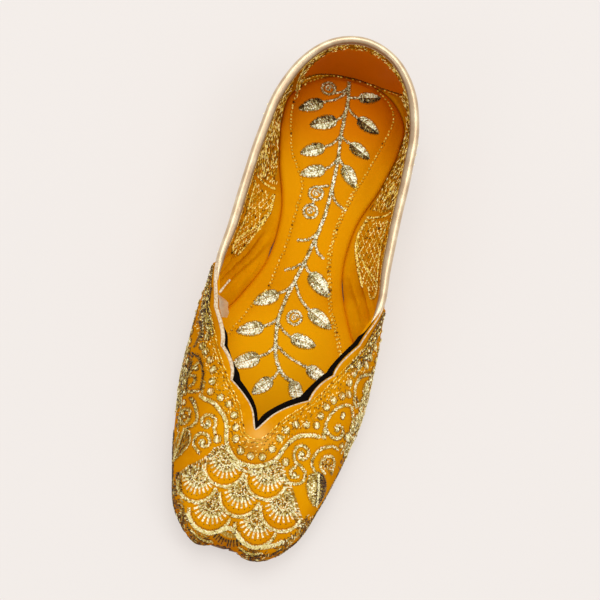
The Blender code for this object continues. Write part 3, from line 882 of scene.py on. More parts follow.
def throatStops(starts):
    # places round the throat with the lobes' points kept: right wing, tip, left wing
    cusps = [placeOfRow(row) for row in last["cusps"]]
    runs = []
    for start in starts:
        corners = [start] + [cusp for cusp in cusps if cusp > start + 1]
        run = []
        for first, second in zip(corners, corners[1:]):
            number = max(4, round(backingLook["stops"] * (second - first) / 70))
            run.extend(np.linspace(first, second, number + 1)[:-1])
        runs.append(np.array(run))
    places = np.concatenate([runs[0], [cusps[-1]], runs[1][::-1]])
    sides = np.where(np.arange(len(places)) <= len(runs[0]), 1.0, -1.0)
    top, up, out = rimFrames(places, sides)
    at = len(runs[0])  # at the point of the throat the two sides meet head on
    up[at] = unit(up[at - 2] + up[at + 2])
    out[at] = unit(out[at - 1] + out[at + 1])
    return places, sides, top, up, out


def buildBacking(felt):
    look = backingLook
    places, sides, top, up, out = throatStops([look["right"][0][0], look["left"][0][0]])
    ends = np.minimum(np.arange(len(places)), np.arange(len(places))[::-1])
    grow = np.minimum(1, ends / 7 + 0.15)
    stands = np.where(sides > 0, readTable(look["right"], places), readTable(look["left"], places))
    stands = (stands + look["more"] * throatCut(places)) * grow
    thick, reach, face = look["thick"], look["reach"], last["overlay"] - 1.15
    low = [(face, -reach), (face, 0.05)]
    high = [(face - 0.25, 0.8), (face - 0.7, 1), (face - thick + 0.5, 0.95), (face - thick, 0.55)]
    back = [(face - thick - 0.25, -0.4), (face - thick - 0.3, -reach * 0.6), (face - thick, -reach)]
    rings = []
    for k in range(len(places)):
        full = np.clip(stands[k] / 1.2, 0.2, 1)
        edge = [(n, u * stands[k]) for n, u in high]
        rings.append([(face + (n - face) * full, u) for n, u in low + edge + back])
    return sweptPiece("throat_stiffener", alongRim(top, up, out, np.array(rings)), felt, smooth=50.0)


def buildCutEdge(raw):
    # the undyed edge of the vamp leather, folded double and wider by the left wing
    places, sides, top, up, out = throatStops([148, 148])
    wide = np.where(sides < 0, readTable(backingLook["cutLeft"], places), backingLook["cutRight"])
    face = last["overlay"] + 0.05
    rings = []
    for w in wide:
        deep = min(1, 0.3 + w)  # elsewhere only a thin line of it shows
        ring = [(0.4, -0.6), (0, -0.2), (0.05, (0.15 + w * 0.3) * deep), (0.3, (0.3 + w * 0.75) * deep),
                (0.7, (0.3 + w) * deep), (1.1, (0.2 + w) * deep), (1.35, w * 0.6), (1.3, -0.6)]
        rings.append([(face - n * deep, u) for n, u in ring])
    return sweptPiece("vamp_cut_edge", alongRim(top, up, out, np.array(rings)), raw, smooth=60.0)


# Heel grip: a smooth patch on the lining at the back of the heel

gripLook = {
    # its edges: (along, down from the rim); minus is the left side
    "upper": [(-29, 28), (-24, 17.5), (-19, 11), (-14, 8.8), (0, 7.6), (14, 7.8), (22, 10), (29, 14)],
    "lower": [(-29, 31.5), (-24, 34.5), (-19, 37), (-12, 39.4), (0, 41.2), (10, 40.6), (16, 39), (22, 35),
              (29, 26)],
    "thick": 0.6, "across": 90, "levels": 30, "inShade": 0.85,
}


def gripEdge(key, along):
    return evened(readTable(gripLook[key], along), 4)


def buildGrip(skin):
    look = gripLook
    along = np.linspace(look["lower"][0][0], look["lower"][-1][0], look["across"])
    share = np.linspace(0, 1, look["levels"])
    a, s = np.meshgrid(along, share, indexing="ij")
    high, low = gripEdge("upper", along), gripEdge("lower", along)
    down = high[:, None] + (low - high)[:, None] * s
    sheet = wallSheet(1, inner=True)
    point, normal, _ = sheet(np.column_stack([a.ravel(), down.ravel()]))
    point, normal = point.reshape(a.shape + (3,)), normal.reshape(a.shape + (3,))
    rim = np.minimum(np.minimum(s, 1 - s) * 12, np.minimum(a - along[0], along[-1] - a) / 2)
    lift = look["thick"] * np.clip(rim, 0, 1) ** 0.5
    outer, inner = point + normal * (lift + 0.06)[..., None], point - normal * 0.3
    count = a.size
    numbers = np.arange(count).reshape(a.shape)
    faces = gridFaces(numbers) + gridFaces(numbers + count, True)
    loop = np.concatenate([numbers[:, 0], numbers[-1, 1:], numbers[-2::-1, -1], numbers[0, -2:0:-1],
                           numbers[:1, 0]])
    faces += gridFaces(np.stack([loop, loop + count], axis=1), True)
    points = np.concatenate([outer.reshape(-1, 3), inner.reshape(-1, 3)])
    # painted shade over the whole patch
    inShade = np.full(len(points), look["inShade"])
    return meshPiece("heel_grip", points, faces, skin, smooth=60, marks={"paintedShade": inShade})


# Sole and heel lift

soleLook = {"ledge": 0.6, "end": 1, "rungs": 220, "breast": 62, "liftRungs": 70}


def soleRings(places, profile, height, thick):
    rights, lefts = [], []
    for inset, share in profile:
        for edge, side in ((rights, 1), (lefts, -1)):
            foot, out = feather(places, side)
            xy = foot - out * inset
            z = height(xy[:, 1]) - share * thick
            edge.append(np.concatenate([xy, z[:, None]], axis=1))
    return inFrame(np.array(rights + lefts[::-1]).transpose(1, 0, 2))


def buildSole(hide):
    end = placeOfRow("toeCentre")
    e, ledge = soleLook["end"], soleLook["ledge"]
    places = np.concatenate([e + (end / 2 - e) * np.linspace(0, 1, 110) ** 1.4,
                             end - e - (end / 2 - e) * np.linspace(1, 0, 110)[1:] ** 1.4])
    # down the edge: (inwards from the feather line, share of the thickness)
    profile = [(3, 0), (0.2, 0), (0.25 - ledge, 0.02), (-ledge, 0.1), (-0.05 - ledge, 0.2),
               (0.02 - ledge, 0.3),
               (-0.05 - ledge, 0.5), (-0.02 - ledge, 0.8), (0.2 - ledge, 0.95), (0.7 - ledge, 1), (3, 1)]
    rings = soleRings(places, profile, soleTop, last["soleThick"])
    return sweptPiece("sole_stack", rings, hide, smooth=35)


def buildLift(hide):
    spread = np.linspace(0, placeOfRow("waist"), 400)
    breast = float(np.interp(-soleLook["breast"], -readColumn("footY", spread), spread))
    places = soleLook["end"] + (breast - soleLook["end"]) * np.linspace(0, 1, soleLook["liftRungs"]) ** 1.3
    top = last["heelLift"] - last["gap"] + 0.2
    profile = [(2, 0), (0, 0), (-0.1, 0.03), (-0.12, 0.3), (0.05, 0.33), (-0.05, 0.36), (0, 0.62),
               (0.16, 0.66), (0.06, 0.69), (0.12, 0.93), (0.5, 1), (3, 1)]
    rings = soleRings(places, profile, lambda y: np.full_like(y, top), top)
    return sweptPiece("heel_stack", rings, hide, smooth=35)


# Embroidery: every stitch is a short raised thread, laid by one node tree on guide points

threadLook = {
    "Rise": 0.55, "Facets": 4, "Uneven": 0.18, "Seed": 5,  # the tree's own inputs
    "tilt": 0.36,  # how far a thread may lean, so that no two shine alike
    "stretch": 2.4,  # a stitch that the surface stretches more than this is left out
    "dull": {"left": 0.26, "right": 0.14, "front": 0.18},  # painted shade: how much darker the thread is made on each side
}
dice = np.random.default_rng(23)


def stitchTree():
    tree = bpy.data.node_groups.new("lay_stitches", "GeometryNodeTree")
    for name, kind in {"Guides": "Geometry", "Rise": "Float", "Facets": "Int", "Uneven": "Float",
                       "Seed": "Int", "Finish": "Material"}.items():
        tree.interface.new_socket(name, in_out="INPUT", socket_type="NodeSocket" + kind)
    tree.interface.new_socket("Stitches", in_out="OUTPUT", socket_type="NodeSocketGeometry")
    given = addNode(tree, "NodeGroupInput").outputs
    along, facing, wide, long = (
        addNode(tree, "GeometryNodeInputNamedAttribute", {"Name": key}, data_type=kind)
        for key, kind in (("along", "FLOAT_VECTOR"), ("facing", "FLOAT_VECTOR"), ("wide", "FLOAT"),
                          ("long", "FLOAT")))
    # a barrel with closed points: its length is along Z, and X is the way that the cloth faces
    grain = addNode(tree, "GeometryNodeMeshUVSphere",
                    {"Segments": given["Facets"], "Rings": 3, "Radius": 0.5})
    smooth = addNode(tree, "GeometryNodeSetShadeSmooth", {"Geometry": grain})
    turned = addNode(tree, "FunctionNodeAlignRotationToVector", {"Vector": along}, axis="Z")
    facing = addNode(tree, "FunctionNodeAlignRotationToVector", {"Rotation": turned, "Vector": facing},
                     axis="X", pivot_axis="Z")
    low, high = (addNode(tree, "ShaderNodeMath", {0: 1, 1: given["Uneven"]}, operation=operation)
                 for operation in ("SUBTRACT", "ADD"))
    chance = addNode(tree, "FunctionNodeRandomValue", {2: low, 3: high, "Seed": given["Seed"]},
                     data_type="FLOAT")
    broad = addNode(tree, "ShaderNodeMath", {0: wide, 1: chance}, operation="MULTIPLY")
    tall = addNode(tree, "ShaderNodeMath", {0: broad, 1: given["Rise"]}, operation="MULTIPLY")
    size = addNode(tree, "ShaderNodeCombineXYZ", {"X": tall, "Y": broad, "Z": long})
    laid = addNode(tree, "GeometryNodeInstanceOnPoints", {"Points": given["Guides"], "Instance": smooth,
                                                          "Rotation": facing, "Scale": size})
    real = addNode(tree, "GeometryNodeRealizeInstances", {"Geometry": laid})
    done = addNode(tree, "GeometryNodeSetMaterial", {"Geometry": real, "Material": given["Finish"]})
    addNode(tree, "NodeGroupOutput", {"Stitches": done})
    return tree


def layStitches(name, tree, parts, finish):
    # parts: tables of (start xyz, end xyz, facing xyz, wide, tone, lift), in millimetres
    rows = np.concatenate(parts)
    start, end, facing = rows[:, 0:3], rows[:, 3:6], unit(rows[:, 6:9])
    tilted = unit(facing + dice.normal(0, threadLook["tilt"], facing.shape))
    wide, tone, lift = rows[:, 9:12].T
    centre = (start + end) / 2 + facing * lift[:, None]
    mesh = bpy.data.meshes.new(name + "_guides")
    mesh.from_pydata((centre * mm).tolist(), [], [])
    vectors = {"along": unit(end - start), "facing": tilted}
    numbers = {"long": np.linalg.norm(end - start, axis=1) * mm, "wide": wide * mm, "tone": tone}
    for key, values in vectors.items():
        slot = mesh.attributes.new(key, "FLOAT_VECTOR", "POINT")
        slot.data.foreach_set("vector", values.astype(np.float32).ravel())
    for key, values in numbers.items():
        mesh.attributes.new(key, "FLOAT", "POINT").data.foreach_set("value", values.astype(np.float32))
    guides = bpy.data.objects.new(name + "_guides", mesh)
    scene.collection.objects.link(guides)
    layer = guides.modifiers.new("stitches", "NODES")
    layer.node_group = tree
    settings = {**threadLook, "Finish": finish}
    for item in tree.interface.items_tree:
        if item.in_out == "INPUT" and item.name in settings:
            layer[item.identifier] = settings[item.name]
    result = bpy.data.meshes.new_from_object(guides.evaluated_get(bpy.context.evaluated_depsgraph_get()))
    bpy.data.objects.remove(guides)
    result.name = name
    for key in ("along", "facing", "long", "wide"):
        if key in result.attributes:
            result.attributes.remove(result.attributes[key])
    piece = bpy.data.objects.new(name, result)
    scene.collection.objects.link(piece)
    dress(piece, "gold_thread")
    print(f"{name}: {len(rows)} stitches, {len(result.polygons)} faces")
    return piece


# Sheets: each turns flat coordinates in millimetres to places on the shoe

def droppedSheet(piece):
    # straight down onto a piece; a point that misses it, or meets it edge on, is left out
    tree = BVHTree.FromPolygons([v.co for v in piece.data.vertices],
                                [p.vertices for p in piece.data.polygons])
    down = Vector((0, 0, -1))

    def sheet(flat):
        points, normals = np.zeros((len(flat), 3)), np.zeros((len(flat), 3))
        kept = np.zeros(len(flat), bool)
        for i, (x, y) in enumerate(flat):
            hit, normal, _, _ = tree.ray_cast(Vector((x * mm, y * mm, 0.1)), down)
            if hit is not None and normal.z > 0.06:
                points[i], normals[i], kept[i] = hit, normal, True
        return points / mm, normals, kept
    return sheet


def sew(rows, sheet):
    # rows: (start x, start y, end x, end y, wide, tone, lift) on the flat
    if isinstance(rows, list):
        rows = np.concatenate(rows)
    a, na, keptA = sheet(rows[:, 0:2])
    b, nb, keptB = sheet(rows[:, 2:4])
    long = np.linalg.norm(b - a, axis=1)
    flat = np.linalg.norm(rows[:, 2:4] - rows[:, 0:2], axis=1)
    kept = keptA & keptB & (long < threadLook["stretch"] * flat + 0.5) & (long > 0.1)
    return np.column_stack([a, b, unit(na + nb), rows[:, 4:7]])[kept]


# Stitch patterns on the flat

def rowsOf(start, end, wide, tone, lift):
    fill = [np.broadcast_to(np.asarray(v, float), len(start)) for v in (wide, tone, lift)]
    return np.column_stack([start, end, *fill])


def strokes(middle, half, *looks):
    # stitches either way from their middles
    return rowsOf(middle - half, middle + half, *looks)


def toneMix(count, low=0.45, high=1, dark=0.1):
    # most threads lie between two tones; some glint, and some fall into shade
    tone = dice.uniform(low, high - 0.1, count)
    tone = np.where(dice.random(count) < 0.3, dice.uniform(high - 0.08, high, count), tone)
    return np.where(dice.random(count) < dark, dice.uniform(0.08, 0.36, count), tone)


def shadedByFacing(rows):
    # painted shade: thread is darkened where it faces outwards, as it lies in shade, most of all on the inner
    # flank and the front of the toe
    left, front = smoothstep(0.4, 0.8, -rows[:, 6]), smoothstep(0.3, 0.75, -rows[:, 7])
    right, dull = smoothstep(0.6, 0.95, rows[:, 6]), threadLook["dull"]
    dull = dull["left"] * left + dull["right"] * right + dull["front"] * front * (1 - left)
    rows[:, 10] = np.clip(rows[:, 10] - dull * dice.uniform(-0.1, 1.2, len(rows)), 0, 1)
    return rows


def smoothPath(points, pitch):
    # a Catmull-Rom curve through the points, cut in even steps; gives places and directions
    p = np.array(points, float)
    closed = len(p) > 3 and np.allclose(p[0], p[-1])
    first = p[-2] if closed else 2 * p[0] - p[1]
    final = p[1] if closed else 2 * p[-1] - p[-2]
    p = np.vstack([first, p, final])
    t = np.linspace(0, 1, 16, endpoint=False)[:, None]
    curve = []
    for a, b, c, d in zip(p, p[1:], p[2:], p[3:]):
        curve.append(0.5 * (2 * b + (c - a) * t + (2 * a - 5 * b + 4 * c - d) * t**2
                            + (3 * b - a - 3 * c + d) * t**3))
    curve = np.vstack(curve + [p[-2]])
    run = np.concatenate([[0], np.cumsum(np.linalg.norm(np.diff(curve, axis=0), axis=1))])
    stops = np.linspace(0, run[-1], max(3, round(run[-1] / pitch) + 1))
    at = np.column_stack([np.interp(stops, run, curve[:, k]) for k in (0, 1)])
    return at, unit(np.gradient(at, axis=0))


def braid(path, width=1.5, pitch=0.55, wide=0.58, low=0.45, high=1, dark=0.14, lift=0.3, holes=True):
    # a cord: slanting grains either side of its middle, with small needle holes along both edges
    at, along = smoothPath(path, pitch)
    across = leftOf(along)
    rows = []
    for sign in (1, -1):
        start = at + across * sign * width * 0.48 - along * width * 0.3
        end = at - across * sign * width * 0.06 + along * width * 0.3
        shift = dice.normal(0, 0.1, at.shape)
        rows.append(rowsOf(start + shift, end + shift, wide, toneMix(len(at), low, high, dark), lift))
        if holes:
            spot = (at + across * sign * (width / 2 + 0.3))[::2] + dice.normal(0, 0.08, at[::2].shape)
            rows.append(strokes(spot, along[::2] * 0.3, 0.34, dice.uniform(0, 0.35, len(spot)), 0))
    return np.concatenate(rows)


def dashes(path, pitch=2, long=1.3, wide=0.42, offset=0, jitter=0.15, low=0.55, high=1, lift=0.15, skew=0):
    # single stitches along a path, beside it by an offset
    at, along = smoothPath(path, pitch)
    across = leftOf(along)
    at = at + across * offset + dice.normal(0, jitter, at.shape)
    lean = np.radians(skew + dice.normal(0, 8, len(at)))
    way = along * np.cos(lean)[:, None] + across * np.sin(lean)[:, None]
    half = way * (long * dice.uniform(0.75, 1.2, len(at)) / 2)[:, None]
    return strokes(at, half, wide, toneMix(len(at), low, high, 0.08), lift)


def satinDot(centre, radius=1.5, bright=1, lift=0.5):
    # a padded dot: threads side by side across a small swell, painted darker down its sides, a bright one on top
    # as a painted highlight, needle holes all round
    way = wayOf(dice.uniform(0, math.pi))
    across = leftOf(way)
    offsets = np.repeat(np.linspace(-0.74, 0.74, 5), 2)
    half = (radius * np.sqrt(1 - offsets**2))[:, None] * way
    middle = np.array(centre) + radius * offsets[:, None] * across
    sign = np.tile([1, -1], 5)[:, None]
    tones = np.clip(bright - 0.1 - 0.3 * np.abs(offsets) + dice.normal(0, 0.16, 10), 0.05, 1)
    rows = [rowsOf(middle - half * 0.12 * sign, middle + half * sign, 0.6 * radius / 1.6 + 0.06, tones,
                   lift * (1.05 - offsets**2))]
    top = np.array([centre]) + dice.normal(0, 0.1, (1, 2))
    rows.append(strokes(top, way * 0.55, 0.95, bright, lift * 1.5))
    away = wayOf(np.radians(np.arange(0, 360, 30) + dice.uniform(0, 30)))
    rim = np.array(centre) + (radius + 0.15) * away
    rows.append(strokes(rim, 0.3 * leftOf(away), 0.44, dice.uniform(0, 0.28, len(rim)), 0.05))
    return np.concatenate(rows)


def satinLeaf(base, tip, width, bright=(0.8, 0.55), paintedGlint=0.35, pitch=0.44, wide=0.74, lift=0.34, holes=True):
    # slanting threads either side of a midrib, each laid in short runs, with a painted highlight where the
    # padding swells and each half painted to its own brightness as it is lit
    base, tip = np.array(base, float), np.array(tip, float)
    along = unit(tip - base)
    across, length = leftOf(along), np.linalg.norm(tip - base)

    def half(s):
        return width / 2 * 2.3 * np.clip(s, 0, 1) ** 0.52 * np.clip(1 - s, 0, 1) ** 0.78

    s = np.arange(-0.03, 0.97, pitch / length)
    rows = []
    for sign, tone in zip((1, -1), bright):
        tone = tone + 0.06
        outer = np.clip(s + 0.14 * (1 - s), 0.02, 0.99)
        start = base + np.outer(np.clip(s, 0, 1) * length, along)
        reach = np.maximum(half(outer) + dice.normal(0, 0.12, len(s)), 0.25)
        end = base + np.outer(outer * length, along) + np.outer(sign * reach, across)
        runs = max(2, round(width / 2 / 1.15))
        for run in range(runs):
            shift = dice.uniform(-0.35, 0.35, len(s)) if run else 0 * s
            first = np.clip(run - 0.1 + shift, 0, runs)[:, None] / runs
            final = np.clip(run + 1.1 + shift, 0, runs)[:, None] / runs
            middle = (run + 0.5) / runs
            swell = math.exp(-((middle - 0.42) / 0.34) ** 2) * np.exp(-((s - 0.5) / 0.24) ** 2)
            tones = np.clip(tone - 0.16 + (paintedGlint + 0.12) * swell + dice.normal(0, 0.22, len(s)), 0, 1)
            rows.append(rowsOf(start + (end - start) * first, start + (end - start) * final, wide, tones,
                               lift * (1.15 - 0.5 * middle)))
        if holes:
            edge = np.arange(0.04, 0.98, 0.8 / length)
            spot = base + np.outer(edge * length, along) + np.outer(sign * (half(edge) + 0.35), across)
            way = 0.26 * (along + sign * across * 0.5)
            rows.append(strokes(spot, way, 0.36, dice.uniform(0, 0.4, len(edge)), 0.02))
    return np.concatenate(rows)


def scatterFill(low, high, inside, way, long=1.3, wide=0.56, gap=0.5, tones=(0.4, 1, 0.1), lift=0.2,
                turn=0.35):
    # threads side by side over any shape: inside(points) keeps them, way(points) turns them
    spots = []
    for number, y in enumerate(np.arange(low[1], high[1], gap)):
        x = np.arange(low[0] + (number % 2) * long * 0.45, high[0], long * 0.85)
        spots.append(np.column_stack([x, np.full(len(x), y)]))
    spots = np.vstack(spots) + dice.normal(0, 0.14, (sum(map(len, spots)), 2))
    spots = spots[inside(spots)]
    angle = way(spots) + dice.normal(0, turn, len(spots))
    half = (long * dice.uniform(0.75, 1.15, len(spots)) / 2)[:, None] * wayOf(angle)
    return strokes(spots, half, wide, toneMix(len(spots), *tones), lift * dice.uniform(0.6, 1.4, len(spots)))


def someOf(share):
    # keeps so many of the points, by chance
    return lambda p: dice.random(len(p)) < share


def wavy(swing, pitch, start=0):
    # threads that turn one way and the other along a band
    return lambda p: start + swing * np.sin(p[:, 0] * pitch)


def inOutline(points, outline):
    # which points lie inside a closed outline
    shape = np.array(outline, float)
    inside = np.zeros(len(points), bool)
    for (xa, ya), (xb, yb) in zip(shape, np.roll(shape, -1, axis=0)):
        crosses = (ya > points[:, 1]) != (yb > points[:, 1])
        edge = xa + (points[:, 1] - ya) * (xb - xa) / (yb - ya if yb != ya else 1e-9)
        inside ^= crosses & (points[:, 0] < edge)
    return inside


def patch(outline, angle=90, **settings):
    # a shape filled with threads that all run about one way
    shape = np.array(outline, float)
    lean = math.radians(angle)
    return scatterFill(shape.min(axis=0), shape.max(axis=0), lambda p: inOutline(p, outline),
                       lambda p: np.full(len(p), lean), **settings)


def stripe(path, width, long=1.6, wide=0.52, gap=0.6, slant=65, tones=(0.45, 1, 0.25), lift=0.25):
    # a band of threads laid across a path
    at, along = smoothPath(path, gap)
    across, lean = leftOf(along), math.radians(slant)
    way = along * math.cos(lean) + across * math.sin(lean)
    rows = []
    for offset in np.arange(-width / 2 + long * 0.4, width / 2, long * 0.85):
        middle = at + across * (offset + dice.normal(0, 0.18, len(at)))[:, None]
        half = way * (long * dice.uniform(0.75, 1.15, len(at)) / 2)[:, None]
        rows.append(strokes(middle, half, wide, toneMix(len(at), *tones), lift))
    return np.concatenate(rows)


def fan(centre, radius, above=(), rays=11, cord=1.4, gap=0.43, tones=(0.4, 0.98, 0.18)):
    # a scale: a dense head that opens in rays, a bare crescent with needle holes, then a heavy cord round it
    centre = np.array(centre, float)
    focus = centre + np.array([0.0, radius * 0.34])
    step = 150 / (rays - 1)

    def clear(p, margin):
        kept = np.hypot(*(p - centre).T) < radius - 0.3
        for other, size in above:
            kept &= np.hypot(*(p - np.array(other)).T) > size + margin
        return kept

    def way(p):
        return np.arctan2(*(p - focus).T[::-1])

    def inside(p):
        fromDown = np.abs((np.degrees(way(p)) + 90 + 180) % 360 - 180)
        return clear(p, 0.8) & ((np.hypot(*(p - focus).T) < radius * 0.6) | (fromDown >= 78))

    def downwards(turn):
        return np.column_stack([np.sin(turn), -np.cos(turn)])

    rows = [scatterFill(centre - radius, centre + radius, inside, way, long=1.1, wide=0.64, gap=gap,
                        tones=tones, turn=0.6)]
    # rays: short bright strokes round the head, every other one longer
    turn = np.radians((np.arange(2 * rays - 1) - (rays - 1)) * step / 2)
    out = downwards(turn)
    side = leftOf(out)
    odd = np.arange(len(turn)) % 2 == 1
    long = radius * np.where(odd, 0.7, 0.99 - 0.1 * np.abs(turn) / 1.3)
    for offset in (-0.22, 0.22):
        far = radius * np.where(odd, 0.5, 0.56) + dice.uniform(-0.3, 0.3, len(turn))
        while (far < long - 0.5).any():
            reach = np.minimum(far + dice.uniform(1.3, 1.9, len(turn)), long)
            start, end = (focus + out * r[:, None] + side * offset for r in (far, reach))
            bright = np.clip(np.where(odd, 0.68, 0.98) + dice.normal(0, 0.14, len(turn)), 0.05, 1)
            going = far < long - 0.5
            rows.append(rowsOf(start, end, 0.54, bright, 0.35)[going & clear((start + end) / 2, 0.8)])
            far = np.where(going, reach - 0.15, far)
    # the pale seam between head and rays
    seam = focus + out * radius * 0.36
    rows.append(strokes(seam, side * 0.5, 0.55, dice.uniform(0.7, 1, len(turn)), 0.5)[clear(seam, 0.8)])
    # needle holes beyond the rays
    turn = np.radians((np.arange(rays + 1) - rays / 2) * step)
    out = downwards(turn)
    spot = focus + out * radius * (1.05 - 0.06 * np.abs(turn))[:, None]
    kept = (np.hypot(*(spot - centre).T) < radius - 1.1) & clear(spot, 1.2)
    rows.append(strokes(spot, 0.26 * out, 0.58, 0.02, 0)[kept])
    arc = wayOf(np.radians(np.linspace(-172, -8, 26)))
    arc = (centre + radius * arc)[clear(centre + radius * arc * 0.95, 0.4)]
    if len(arc) > 3:
        rows.append(braid(arc, cord, 0.48, 0.6, 0.66, 1, 0.05, 0.5))
    return np.concatenate(rows)




# Vamp: scales over the toe, scrolls and padded dots round the throat (plan, in millimetres)

